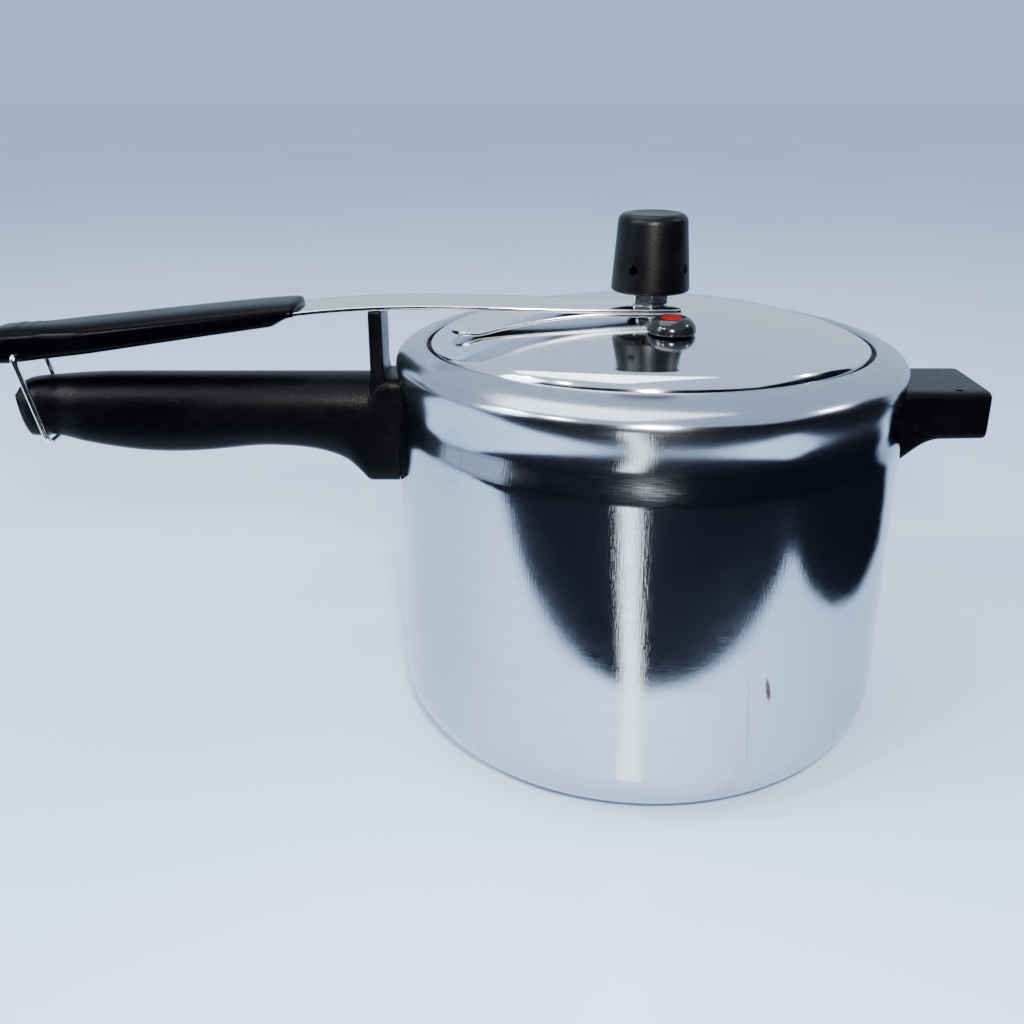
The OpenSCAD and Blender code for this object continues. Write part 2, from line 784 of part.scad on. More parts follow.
// Channel for the arm in the upper half
module arm_channel() {
    xs = [grip_x0 + 2, for (i = [1:4]) grip_x0 + (arch_end_x - grip_x0) * i / 4, arm_end_x - 1];
    top = [for (x = xs) [x, arm_top(x) + arm_room]];
    wide = concat([[grip_x0 + 2, arm_w / 2 + seat_gap]], tang_edge(seat_gap));
    intersection() {
        rotate([90, 0, 0]) linear_extrude(big, center = true)
            polygon(concat(top, [for (p = reversed(top)) p - [0, arm_t + 3]]));
        translate([0, 0, grip_mid_z - 60]) linear_extrude(120)
            polygon(concat(wide, [for (p = reversed(wide)) [p[0], -p[1]]]));
    }
}

module pivot_holes() {
    for (side = [-1, 1])
        translate([bail_x, side * grip_end_w / 2, bail_z]) rotate([90, 0, 0])
            cylinder(d = wire_d + 2 * run_gap, h = 10, center = true);
}

module grip_top() {
    color(black)
    difference() {
        grip_block();
        below_arm();
        arm_channel();
        at_grip_rivets() translate([0, 0, -20])
            cylinder(d = grip_rivet_d + 2 * run_gap, h = 20 + arm_t / 2 + 2.2);
    }
}

module grip_bottom() {
    color(black)
    difference() {
        intersection() {
            grip_block();
            below_arm();
        }
        pivot_holes();
        at_grip_rivets() cylinder(d = grip_rivet_d + 2 * run_gap, h = 40, center = true);
        at_grip_rivets() translate([0, 0, -32.4]) cylinder(d = 7, h = 30);
    }
}

module grip_rivets() {
    color(steel)
    at_grip_rivets() {
        translate([0, 0, -2.4 - eps]) cylinder(d = grip_rivet_d, h = 2.4 + arm_t / 2 + 2);
        translate([0, 0, -3.2]) cylinder(d = 6.4, h = 0.8);
    }
}

// ---- Safety valve ----

safety_z = crown_at(safety_at[0], safety_at[1]);
plug_z = safety_z + safety_h;

module at_safety() {
    translate([safety_at[0], safety_at[1], 0]) children();
}

module safety_valve_body() {
    r = safety_d / 2;
    bore = 5;
    neck = 11.6;
    color(black)
    at_safety() difference() {
        rotate_extrude() polygon(concat(
            [[0, safety_z - lid_t - 3.4], [7.4, safety_z - lid_t - 3.4]],
            [[8.6, safety_z - lid_t - 2], [8.6, safety_z - lid_t - 0.5]],
            [[neck / 2, safety_z - lid_t - 0.4], [neck / 2, safety_z + 0.5]],
            [[r - 0.6, safety_z + 0.5], [r, safety_z + 1.2]],
            curve([r, safety_z + 1.2], [r, safety_z + 4.6], [r - 3, plug_z], [r - 4.4, plug_z], 8),
            [[plug_d / 2 + run_gap, plug_z - 0.6], [plug_d / 2 + run_gap, plug_z - 2.4], [0, plug_z - 2.4]]));
        translate([0, 0, safety_z - 20]) cylinder(d = bore, h = 40);
    }
}

module safety_plug() {
    r = plug_d / 2;
    seat = plug_z - 2.4;
    color("red")
    at_safety() rotate_extrude() polygon(concat(
        [[0, safety_z - lid_t - 4.4], [2.1, safety_z - lid_t - 4.4], [2.43, seat + 0.05], [r, seat + 0.05]],
        [[r, plug_z - 0.9]],
        curve([r, plug_z - 0.9], [r - 0.3, plug_z], [1.6, plug_z + 0.5], [0, plug_z + 0.5], 6)));
}

// ---- Weight ----

core_z = cap_z + vent_z + 4.2;
core_top = cap_z + cap_h - 4.4;
pin_z = stem_top + 0.3;

module weight_cap() {
    r0 = cap_d / 2;
    r1 = cap_top_d / 2;
    shoulder = 4;
    top = cap_z + cap_h;
    corner = [r1, top - shoulder];
    color(black)
    difference() {
        rotate_extrude() polygon(concat(
            [[0, cap_z + 1.6], [0, cap_z], [r0 - 1, cap_z], [r0, cap_z + 1]],
            [corner],
            curve(corner, corner + [0, 2.4], [r1 - 1.6, top], [r1 - 4, top], 6),
            [[0, top]]));
        translate([0, 0, cap_z - 1]) cylinder(r = r0 - cap_t - 0.6, h = core_z - cap_z + 1);
        translate([0, 0, core_z - eps]) cylinder(d = core_d + 0.04, h = core_top - core_z + eps);
        for (i = [0:3]) rotate([0, 0, 90 * i - 34.4])
            translate([r0 - 10, 0, cap_z + vent_z]) rotate([0, 90, 0]) cylinder(d = vent_d, h = 20);
    }
}

module weight_core() {
    color("goldenrod")
    difference() {
        translate([0, 0, core_z - 7]) union() {
            cylinder(d = core_d - 4, h = 7);
            translate([0, 0, 7 - eps]) cylinder(d = core_d, h = core_top - core_z);
        }
        difference() {
            translate([0, 0, cap_z - 1]) cylinder(d = stem_d + 1.6, h = pin_z + 3.4 - cap_z + 1);
            translate([0, 0, pin_z]) cylinder(d1 = steam_d - 0.6, d2 = steam_d + 2.6, h = 3.4 + eps);
        }
    }
}

// ---- Bail ----

// Quarter bend of the wire, from a leg at +Y down and round to the cross wire
module wire_bend(r) {
    rotate([0, 90, 0]) rotate_extrude(angle = 90, $fn = 48) translate([r, 0]) circle(d = wire_d, $fn = 32);
}

module wire_rod(h) {
    cylinder(d = wire_d, h = h, $fn = 32);
}

// Half of the bail, hanging straight down from its pivot at the origin
module bail_half_wire() {
    head_r = 1.6;
    foot_r = 3.5;
    pin = 4.4;
    translate([0, bail_half - head_r - pin, 0]) rotate([-90, 0, 0]) wire_rod(pin + eps);
    translate([0, bail_half - head_r, -head_r]) mirror([0, 0, 1]) wire_bend(head_r);
    translate([0, bail_half, foot_r - bail_len]) wire_rod(bail_len - head_r - foot_r);
    translate([0, bail_half - foot_r, foot_r - bail_len]) wire_bend(foot_r);
    translate([0, -eps, -bail_len]) rotate([-90, 0, 0]) wire_rod(bail_half - foot_r + 2 * eps);
}

module bail_wire() {
    color(steel)
    translate([bail_x, 0, bail_z]) rotate([0, -bail_lean, 0])
        for (side = [0, 1]) mirror([0, side, 0]) bail_half_wire();
}

pot_body();
long_bracket();
long_rivets();
long_handle();
long_screw();
helper_bracket();
helper_rivets();
helper_handle();
helper_screw();
lid_shell();
lid_gasket();
valve_stem();
stem_spacer();
stem_seal();
stem_lower_nut();
leaf_spring();
spring_arm();
arm_nut();
safety_valve_body();
safety_plug();
grip_top();
grip_bottom();
grip_rivets();
weight_cap();
weight_core();
bail_wire();
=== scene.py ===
"""Stovetop pressure cooker with an inner oval lid, a spring arm, a wire bail and a weight valve.

Lengths inside the shape functions are millimetres, in the object's own frame: +Z up, the long handle to -X.
"""
import math

import bpy
import numpy as np
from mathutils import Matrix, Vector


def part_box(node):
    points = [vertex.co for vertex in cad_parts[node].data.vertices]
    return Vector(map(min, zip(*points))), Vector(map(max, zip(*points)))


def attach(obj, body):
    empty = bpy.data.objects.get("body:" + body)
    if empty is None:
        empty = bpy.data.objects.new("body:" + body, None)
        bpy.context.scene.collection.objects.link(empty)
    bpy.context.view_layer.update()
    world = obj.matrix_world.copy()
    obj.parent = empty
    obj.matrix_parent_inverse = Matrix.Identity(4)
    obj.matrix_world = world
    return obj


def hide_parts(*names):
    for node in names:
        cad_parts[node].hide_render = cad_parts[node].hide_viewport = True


MM = 0.001
TAU = 2 * math.pi

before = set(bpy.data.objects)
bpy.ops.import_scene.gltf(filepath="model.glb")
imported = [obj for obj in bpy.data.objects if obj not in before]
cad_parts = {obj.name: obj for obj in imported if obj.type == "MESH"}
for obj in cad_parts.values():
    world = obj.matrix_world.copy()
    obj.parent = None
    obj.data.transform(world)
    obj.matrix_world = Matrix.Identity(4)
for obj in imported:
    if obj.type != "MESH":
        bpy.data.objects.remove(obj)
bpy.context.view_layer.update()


def node_box(name):
    """Lowest and highest corner of a CAD node, in millimetres."""
    low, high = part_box(name)
    return np.array(low) / MM, np.array(high) / MM


# ---- Driving sizes, taken from the frame ----

arm_low, arm_high = node_box("spring_arm")
leaf_low = node_box("leaf_spring")[0]
lid_low = node_box("lid_shell")[0]
handle_high = node_box("long_handle")[1]
bail_low, bail_high = node_box("bail_wire")
cap_low, cap_high = node_box("weight_cap")
core_high = node_box("weight_core")[1]
nut_low, nut_high = node_box("arm_nut")
button_low, button_high = node_box("safety_valve_body")
plug_low, plug_high = node_box("safety_plug")

# Pot
POT_R = 110.0
POT_H = 178.8
WALL_T = 2.5
BASE_T = 3.5
CORNER_R = 28.5
NECK_DEPTH = 2.8
BULGE_Z = POT_H - 9.3
NECK_HALF = 14.5
NECK_Z = BULGE_Z - NECK_HALF
NECK_START = NECK_Z - NECK_HALF
CROWN_R = POT_R - 30.0
MOUTH_A = POT_R - 13.7
MOUTH_B = MOUTH_A - 8.2
OVAL = MOUTH_B / MOUTH_A
RING_Z = POT_H - 4.0
RING_FLAT_R = POT_R - 7.4
LIP_R = 1.5

# Lid
LID_T = 1.8
LID_R = MOUTH_A - 1.6
LID_EDGE_R = 8.0
LID_EDGE_W = 11.5
LID_EDGE_Z = POT_H - 2.8
CROWN_Z = POT_H + 9.5
CROWN_RX = 400.0
CROWN_RY = 700.0
CONE_RISE = 10.3
FLANGE_R = LID_R + 5.3
FLANGE_Z = lid_low[2]

# Arm
ARM_T = 1.8
LEAF_T = 1.6
ARM_HALF = 14.0
TANG_HALF = 9.0
TANG_X = -200.0
TANG_TAPER = 16.0
ARM_Z = arm_high[2] - 1.5
ARM_FLAT_X = -14.0
ARM_ARCH_X = -100.0
ARM_ARCH = 1.5
ARM_BEND_R = 460.0
ARM_SLOPE = math.radians(7.4)
ARM_TAIL = arm_high[0]
ARM_BEND_END = ARM_ARCH_X - ARM_BEND_R * math.sin(ARM_SLOPE)


# ---- Curves and meshes ----


def cubic(a, b, c, d, n=24):
    """Points on the cubic curve from a to d with guide points b and c: each point is the sum of the
    four, weighted by the terms of ((1 - t) + t) cubed."""
    t = np.linspace(0, 1, n)[:, None]
    a, b, c, d = (np.array(p, float) for p in (a, b, c, d))
    return (1 - t) ** 3 * a + 3 * (1 - t) ** 2 * t * b + 3 * (1 - t) * t**2 * c + t**3 * d


def smooth_step(x, low, high):
    """0 below low, 1 above high, and 3t squared minus 2t cubed in between."""
    t = np.clip((x - low) / (high - low), 0, 1)
    return t * t * (3 - 2 * t)


def make_piece(name, points, faces, uv, body, material, nodes=(), sharp=40):
    """A mesh object from points in millimetres, turned so that its faces point outwards.
    The signed volume is the sum over triangles of corner . (corner x corner) / 6; if it is
    negative, every face is reversed."""
    volume = 0.0
    quads = np.array([f for f in faces if len(f) == 4], int)
    tris = np.array([f for f in faces if len(f) == 3], int)
    for group in ([quads[:, [0, 1, 2]], quads[:, [0, 2, 3]]] if len(quads) else []) + (
        [tris] if len(tris) else []
    ):
        a, b, c = points[group[:, 0]], points[group[:, 1]], points[group[:, 2]]
        volume += float(np.einsum("ij,ij->i", a, np.cross(b, c)).sum()) / 6
    if volume < 0:
        faces = [tuple(reversed(f)) for f in faces]
    mesh = bpy.data.meshes.new(name)
    mesh.from_pydata((points * MM).tolist(), [], faces)
    if uv is not None:
        layer = mesh.uv_layers.new(name="UVMap")
        loop_vertex = np.empty(len(mesh.loops), int)
        mesh.loops.foreach_get("vertex_index", loop_vertex)
        layer.data.foreach_set("uv", uv[loop_vertex].astype(np.float32).ravel())
    mesh.polygons.foreach_set("use_smooth", np.ones(len(mesh.polygons), bool))
    mesh.set_sharp_from_angle(angle=math.radians(sharp))
    mesh.materials.append(material)
    piece = bpy.data.objects.new(name, mesh)
    bpy.context.scene.collection.objects.link(piece)
    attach(piece, body)
    if nodes:
        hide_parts(*nodes)
    return piece


def grid_piece(name, grid, body, material, nodes=(), sharp=40, ring=False):
    """Closed surface from a grid of points (row, column): columns close round on themselves. With
    ring the rows close too; otherwise the first and the last row are each closed by a fan to their
    mean point. UV: u is the column as a fraction, v the length along the rows, in metres."""
    grid = np.asarray(grid, float)
    n, m, _ = grid.shape
    index = np.arange(n * m).reshape(n, m)
    last = n if ring else n - 1
    a = index[:last]
    b = np.roll(index, -1, axis=0)[:last]
    quads = np.stack([a, np.roll(a, -1, 1), np.roll(b, -1, 1), b], -1).reshape(-1, 4)
    faces = [tuple(q) for q in quads.tolist()]
    points = grid.reshape(-1, 3)
    step = np.linalg.norm(np.diff(grid, axis=0), axis=2).mean(axis=1)
    length = np.concatenate([[0], np.cumsum(step)]) * MM
    uv = np.stack(np.broadcast_arrays(np.arange(m)[None, :] / m, length[:, None]), -1).reshape(-1, 2)
    if not ring:
        top = len(points)
        points = np.vstack([points, grid[0].mean(0), grid[-1].mean(0)])
        uv = np.vstack([uv, [0.5, length[0]], [0.5, length[-1]]])
        for row, pole, turn in ((index[0], top, -1), (index[-1], top + 1, 1)):
            pair = np.stack([row, np.roll(row, -1), np.full(m, pole)], 1)[:, ::turn]
            faces += [tuple(t) for t in pair.tolist()]
    return make_piece(name, points, faces, uv, body, material, nodes, sharp)


def revolve(r, z, n=192, centre=(0, 0)):
    """Grid of a profile turned about +Z: x = r cos(angle), y = r sin(angle). r and z hold a value
    per row, or a row of values, one per angle. The first angle is at -X."""
    angle = math.pi + TAU * np.arange(n) / n
    r, z = (np.asarray(v, float) for v in (r, z))
    r = r[:, None] if r.ndim == 1 else r
    z = z[:, None] if z.ndim == 1 else z
    x = centre[0] + r * np.cos(angle)
    y = centre[1] + r * np.sin(angle)
    return np.stack(np.broadcast_arrays(x, y, z + 0 * x), -1)


def arc(cx, cz, r, start, end, n=8):
    """Profile points on a circle about (cx, cz), from one angle to another in degrees."""
    t = np.radians(np.linspace(start, end, n))
    return np.stack([cx + r * np.cos(t), cz + r * np.sin(t)], 1)


def oval_arc(cx, cz, wide, high, start, end, n=8):
    """Profile points on an ellipse about (cx, cz), from one angle to another in degrees."""
    return arc(0, 0, 1, start, end, n) * [wide, high] + [cx, cz]


def loft(x, top, low, half, n_top, n_low, middle, columns=64):
    """Grid of closed sections across X. A section is two half superellipses that meet at the height
    middle: |y / half| ^ n + |(z - middle) / height| ^ n = 1, with its own n above and below."""
    t = TAU * (np.arange(columns) + 0.5) / columns
    c, s = np.cos(t)[None, :], np.sin(t)[None, :]
    col = lambda v: np.broadcast_to(np.asarray(v, float), x.shape)[:, None]
    n = np.where(s > 0, col(n_top), col(n_low))
    height = np.where(s > 0, col(top) - col(middle), col(middle) - col(low))
    y = col(half) * np.sign(c) * np.abs(c) ** (2 / n)
    z = col(middle) + height * np.sign(s) * np.abs(s) ** (2 / n)
    return np.stack(np.broadcast_arrays(x[:, None], y, z), -1)


def tube(path, radius, columns=20):
    """Grid of circles carried along a path that lies in one plane: each circle is spanned by the
    plane's normal and by the normal crossed with the path's direction."""
    path = np.asarray(path, float)
    along = np.gradient(path, axis=0)
    along /= np.linalg.norm(along, axis=1)[:, None]
    flat = np.cross(path[len(path) // 3] - path[0], path[-1] - path[0])
    flat /= np.linalg.norm(flat)
    across = np.cross(flat, along)
    t = TAU * np.arange(columns) / columns
    return (
        path[:, None, :]
        + radius * np.cos(t)[None, :, None] * flat
        + radius * np.sin(t)[None, :, None] * across[:, None, :]
    )


# ---- Materials ----


class Finish:
    """A material with one Principled shader and short calls for the nodes that feed it."""

    def __init__(self, name, colour, roughness, metallic=0.0, **extra):
        self.material = bpy.data.materials.new(name)
        self.material.use_nodes = True
        self.tree = self.material.node_tree
        self.shader = self.tree.nodes["Principled BSDF"]
        self.shader.inputs["Base Color"].default_value = (*colour, 1)
        self.shader.inputs["Roughness"].default_value = roughness
        self.shader.inputs["Metallic"].default_value = metallic
        for key, value in extra.items():
            self.shader.inputs[key.replace("_", " ")].default_value = value

    def node(self, kind, inputs=(), **settings):
        made = self.tree.nodes.new(kind)
        for key, value in settings.items():
            setattr(made, key, value)
        for key, value in dict(inputs).items():
            if isinstance(value, bpy.types.NodeSocket):
                self.tree.links.new(value, made.inputs[key])
            else:
                made.inputs[key].default_value = value
        return made

    def place(self, source, scale):
        """Texture coordinates, stretched by scale along each axis."""
        coordinates = self.node("ShaderNodeTexCoord").outputs[source]
        return self.node("ShaderNodeMapping", {"Vector": coordinates, "Scale": scale}).outputs["Vector"]

    def noise(self, vector, scale=1.0, detail=3.0, roughness=0.55):
        made = self.node(
            "ShaderNodeTexNoise",
            {"Vector": vector, "Scale": scale, "Detail": detail, "Roughness": roughness},
        )
        return made.outputs["Fac"]

    def ramp(self, value, low, high, start=0.0, end=1.0):
        """Value carried from the range low..high to start..end, held at both ends."""
        made = self.node(
            "ShaderNodeMapRange",
            {"Value": value, "From Min": low, "From Max": high, "To Min": start, "To Max": end},
        )
        return made.outputs["Result"]

    def sum(self, a, b, operation="ADD"):
        return self.node("ShaderNodeMath", {0: a, 1: b}, operation=operation).outputs[0]

    def mix(self, factor, a, b):
        made = self.node("ShaderNodeMix", data_type="RGBA")
        for socket, value in ((made.inputs[0], factor), (made.inputs[6], a), (made.inputs[7], b)):
            if isinstance(value, bpy.types.NodeSocket):
                self.tree.links.new(value, socket)
            elif isinstance(value, tuple):
                socket.default_value = (*value, 1)
            else:
                socket.default_value = value
        return made.outputs[2]

    def patch(self, x, z, half_x, half_z, soft=0.4, lean=0.0):
        """1 inside an ellipse about (x, z) on the front of a piece, falling to 0 over its soft rim.
        Lean moves the ellipse's middle along X by that share of the height above z."""
        place = self.node("ShaderNodeSeparateXYZ", {0: self.node("ShaderNodeTexCoord").outputs["Object"]})
        up = self.sum(place.outputs["Z"], z, "SUBTRACT")
        shift = self.sum(up, lean, "MULTIPLY")
        side = self.sum(self.sum(place.outputs["X"], x, "SUBTRACT"), shift, "SUBTRACT")
        across = self.sum(self.sum(side, half_x, "DIVIDE"), 2.0, "POWER")
        along = self.sum(self.sum(up, half_z, "DIVIDE"), 2.0, "POWER")
        inside = self.ramp(self.sum(across, along), 1.0, 1.0 - soft, 0, 1)
        return self.sum(inside, self.ramp(place.outputs["Y"], 0.0, -0.01, 0, 1), "MULTIPLY")

    def feed(self, socket, value):
        self.tree.links.new(value, self.shader.inputs[socket])

    def bump(self, height, strength, distance):
        made = self.node(
            "ShaderNodeBump", {"Height": height, "Strength": strength, "Distance": distance * MM}
        )
        self.feed("Normal", made.outputs["Normal"])


def turned_metal(name, colour, rough_low, rough_high, line_depth, stain, comb_share, shoulder_satin,
                 metal_share):
    """Polished sheet: fine lines round the axis, short lines along it, cloudy polish that is duller on the
    shoulder and, near the base, pale stains."""
    f = Finish(name, colour, rough_low, metal_share, Anisotropic=0.6, Anisotropic_Rotation=0.25)
    tangent = f.node("ShaderNodeTangent", direction_type="UV_MAP", uv_map="UVMap")
    f.feed("Tangent", tangent.outputs["Tangent"])
    lines = f.noise(f.place("UV", (70, 2600, 1)), detail=4, roughness=0.7)
    comb = f.noise(f.place("UV", (1000, 90, 1)), detail=3, roughness=0.7)
    bands = f.noise(f.place("UV", (3, 420, 1)), detail=2)
    clouds = f.noise(f.place("Object", (14, 14, 14)), detail=5, roughness=0.6)
    height = f.node("ShaderNodeSeparateXYZ", {0: f.node("ShaderNodeTexCoord").outputs["Object"]})
    polish = f.sum(f.ramp(clouds, 0.35, 0.7, rough_low, rough_high), f.ramp(lines, 0.45, 0.8, 0, 0.08))
    f.feed("Roughness", f.sum(polish, f.ramp(height.outputs["Z"], 0.150, 0.163, 0, shoulder_satin)))
    tone = f.mix(f.ramp(bands, 0.35, 0.65, 0, 0.5), colour, tuple(0.9 * c for c in colour))
    spots = f.noise(f.place("Object", (55, 55, 38)), detail=6, roughness=0.65)
    low_part = f.ramp(height.outputs["Z"], 0.085, 0.02, 0, 1)
    marks = f.sum(f.ramp(spots, 0.60, 0.74, 0, stain), low_part, "MULTIPLY")
    stained = f.mix(marks, tone, (0.36, 0.30, 0.26))
    if stain:
        scratch = f.patch(0.0334, 0.049, 0.0006, 0.026, 0.6, -0.06)
        scuff = f.patch(0.0408, 0.062, 0.0012, 0.0065, 0.7, -0.18)
        dull = f.patch(0.012, 0.030, 0.016, 0.016, 1.0)
        ring_x, ring_z = -0.0825, 0.148
        outer = f.patch(ring_x, ring_z, 0.0042, 0.0115, 0.35)
        inner = f.patch(ring_x, ring_z, 0.0034, 0.0100, 0.35)
        rim = f.sum(outer, inner, "SUBTRACT")
        stained = f.mix(f.sum(rim, 0.5, "MULTIPLY"), stained, (0.30, 0.33, 0.38))
        stained = f.mix(f.sum(dull, 0.22, "MULTIPLY"), stained, (0.55, 0.54, 0.52))
        stained = f.mix(f.sum(scratch, 0.55, "MULTIPLY"), stained, (0.25, 0.26, 0.32))
        stained = f.mix(f.sum(scuff, f.ramp(spots, 0.35, 0.5), "MULTIPLY"), stained, (0.13, 0.05, 0.04))
    f.feed("Base Color", stained)
    ridges = f.sum(lines, f.sum(bands, 0.6, "MULTIPLY"))
    f.bump(f.sum(ridges, f.sum(comb, comb_share, "MULTIPLY")), 0.35, line_depth)
    return f.material


def plated_steel(name, colour, rough_low, rough_high):
    """Bright plating with faint lengthwise scratches and finger marks."""
    f = Finish(name, colour, rough_low, 1.0)
    scratches = f.noise(f.place("Object", (25, 900, 900)), detail=4, roughness=0.7)
    smears = f.noise(f.place("Object", (60, 60, 60)), detail=4)
    f.feed("Roughness", f.sum(f.ramp(smears, 0.35, 0.7, rough_low, rough_high),
                              f.ramp(scratches, 0.55, 0.8, 0, 0.12)))
    f.bump(scratches, 0.2, 0.02)
    return f.material


def moulded_resin(name, colour, rough_low, rough_high, grain, depth, painted_sparkle, dust=0.0, gloss=0.3):
    """Black moulding: a fine grain, pale specks painted in for the sparkle of the grain in the light (a
    painted highlight), worn patches and a film of dust.
    """
    f = Finish(name, colour, rough_low, Specular_IOR_Level=gloss)
    skin = f.noise(f.place("Object", (grain, grain, grain)), detail=3, roughness=0.6)
    patches = f.noise(f.place("Object", (22, 40, 40)), detail=5, roughness=0.6)
    # Painted highlight: pale specks in scattered patches stand in for the grain's sparkle in the light.
    cells = f.node("ShaderNodeTexVoronoi", {"Vector": f.place("Object", (700, 700, 700))})
    painted_sparkle_mask = f.sum(f.ramp(cells.outputs["Distance"], 0.16, 0.06, 0, painted_sparkle),
                  f.ramp(patches, 0.42, 0.62, 0, 1), "MULTIPLY")
    worn = f.mix(f.ramp(patches, 0.5, 0.8, 0, dust), colour, (0.16, 0.16, 0.17))
    f.feed("Base Color", f.mix(painted_sparkle_mask, worn, (0.34, 0.33, 0.34)))
    f.feed("Roughness", f.ramp(patches, 0.3, 0.7, rough_low, rough_high))
    f.bump(skin, 0.8, depth)
    return f.material


def plain_rubber(name, colour, rough_low, rough_high, gloss=0.4):
    """Smooth rubber with a faint cloudy bloom."""
    f = Finish(name, colour, rough_low, Specular_IOR_Level=gloss)
    bloom = f.noise(f.place("Object", (160, 160, 160)), detail=4)
    f.feed("Roughness", f.ramp(bloom, 0.3, 0.7, rough_low, rough_high))
    pale = tuple(1.6 * c + 0.01 for c in colour)
    f.feed("Base Color", f.mix(f.ramp(bloom, 0.5, 0.8, 0, 0.3), colour, pale))
    f.bump(bloom, 0.3, 0.04)
    return f.material


pot_metal = turned_metal("pot_metal", (0.44, 0.47, 0.53), 0.05, 0.12, 0.012, 0.6, 7.0, 0.09, 0.998)
lid_metal = turned_metal("lid_metal", (0.74, 0.77, 0.82), 0.06, 0.13, 0.008, 0.0, 0.5, 0.0, 1.0)
plating = plated_steel("plating", (0.83, 0.84, 0.86), 0.08, 0.16)
dull_steel = plated_steel("dull_steel", (0.55, 0.55, 0.56), 0.3, 0.42)
rivet_metal = plated_steel("rivet_metal", (0.78, 0.78, 0.79), 0.25, 0.35)
brass = plated_steel("brass", (0.75, 0.62, 0.40), 0.2, 0.32)
bakelite = moulded_resin("bakelite", (0.0005, 0.0005, 0.001), 0.24, 0.32, 1300, 0.22, 0.55, 0.0, 0.09)
grip_resin = moulded_resin("grip_resin", (0.0005, 0.0005, 0.001), 0.18, 0.28, 900, 0.04, 0.1, 0.0, 0.04)
weight_resin = moulded_resin("weight_resin", (0.001, 0.001, 0.0015), 0.28, 0.44, 1100, 0.08, 0.15, 0.03, 0.14)
button_rubber = plain_rubber("button_rubber", (0.004, 0.004, 0.005), 0.12, 0.2)
gasket_rubber = plain_rubber("gasket_rubber", (0.03, 0.03, 0.032), 0.5, 0.62)
plug_red = plain_rubber("plug_red", (0.16, 0.001, 0.001), 0.5, 0.6, 0.05)


# ---- Pot ----


def wall_radius(z):
    """Outer radius of the wall: straight, then drawn in by half a cosine wave down to the neck and
    back out to the bulge."""
    wave = (1 - np.cos(math.pi * np.clip((z - NECK_START) / NECK_HALF, 0, 2))) / 2
    return POT_R - NECK_DEPTH * wave


def pot_grid(n=360):
    """One closed section per angle: base, rounded corner, wall, neck, shoulder, the rolled lip of the
    oval mouth, the flat seat under it and back down the inside. Only the rows between the shoulder
    and the seat change with the angle, because the mouth is an ellipse in a round pot."""
    angle = math.pi + TAU * np.arange(n) / n
    mouth = MOUTH_A * OVAL / np.sqrt((OVAL * np.cos(angle)) ** 2 + np.sin(angle) ** 2)
    same = lambda p: np.repeat(np.asarray(p, float)[:, None, :], n, axis=1)
    base = np.stack([np.linspace(4, POT_R - CORNER_R, 8), np.zeros(8)], 1)
    corner = arc(POT_R - CORNER_R, CORNER_R, CORNER_R, -90, 0, 22)[1:]
    z_wall = np.linspace(CORNER_R, NECK_START, 24)[1:]
    z_neck = np.linspace(NECK_START, BULGE_Z, 42)[1:]
    wall = np.stack([wall_radius(z_wall), z_wall], 1)
    neck = np.stack([wall_radius(z_neck), z_neck], 1)
    end = np.arccos(((mouth + LIP_R - CROWN_R) / (POT_R - CROWN_R)) ** 1.25)
    t = (np.linspace(0, 1, 36)[1:, None] ** 1.2) * end
    shoulder = np.stack(
        [CROWN_R + (POT_R - CROWN_R) * np.cos(t) ** 0.8, BULGE_Z + (POT_H - BULGE_Z) * np.sin(t) ** 0.8], -1
    )
    lip_z = shoulder[-1, :, 1]
    a = np.radians(np.linspace(90, 180, 9))[1:, None]
    lip = np.stack([mouth + LIP_R + LIP_R * np.cos(a), lip_z - LIP_R + LIP_R * np.sin(a)], -1)
    edge = np.stack([
        np.stack([mouth, lip_z * 0.4 + (RING_Z + 0.5) * 0.6], -1),
        np.stack([mouth, 0 * mouth + RING_Z + 0.5], -1),
        np.stack([mouth + 0.5, 0 * mouth + RING_Z], -1)])
    seat = np.stack([
        np.stack([mouth + 0.5 + (RING_FLAT_R - mouth - 0.5) * k, 0 * mouth + RING_Z], -1)
        for k in (0.35, 0.7, 1)])
    inner_r = POT_R - WALL_T
    reach, rise = (inner_r - RING_FLAT_R) * 0.55, (RING_Z - BULGE_Z) * 0.55
    inner_shoulder = cubic((RING_FLAT_R, RING_Z), (RING_FLAT_R + reach, RING_Z),
                           (inner_r, BULGE_Z + rise), (inner_r, BULGE_Z), 10)[1:]
    down_neck = np.stack([wall_radius(z_neck[-2::-1]) - WALL_T, z_neck[-2::-1]], 1)
    down_wall = np.stack([0 * z_wall + inner_r, z_wall[::-1]], 1)
    in_r = CORNER_R - WALL_T
    down_corner = arc(inner_r - in_r, BASE_T + in_r, in_r, 0, -90, 20)
    floor = np.stack([np.linspace(inner_r - in_r, 4, 8)[1:], np.full(7, BASE_T)], 1)
    profile = np.concatenate([
        same(base), same(corner), same(wall), same(neck), shoulder, lip, edge, seat,
        same(inner_shoulder), same(down_neck), same(down_wall), same(down_corner), same(floor)])
    return revolve(profile[..., 0], profile[..., 1], n)


grid_piece("pot_shell", pot_grid(), "pot", pot_metal, ["pot_body"], 50)

# ---- Lid ----


def crown(x, y):
    """Height of the lid's crown: its top less a parabola along each axis."""
    return CROWN_Z - x**2 / (2 * CROWN_RX) - y**2 / (2 * CROWN_RY)


def soft_min(a, b, k):
    """The lower of two heights, with the crease between them rounded over a width k."""
    return -k * np.log(np.exp(-(a - a.min()) / k) + np.exp(-(b - a.min()) / k)) + a.min()


def lid_surface(plan, form_z, drop, n):
    """Points where the oval lid form and the crown above it meet, both lowered by drop."""
    angle = math.pi + TAU * np.arange(n) / n
    x = plan[:, None] * np.cos(angle)
    y = OVAL * plan[:, None] * np.sin(angle)
    z = soft_min(form_z[:, None] + 0 * x, crown(x, y) - drop, 0.35)
    return np.stack([x, y, z], -1)


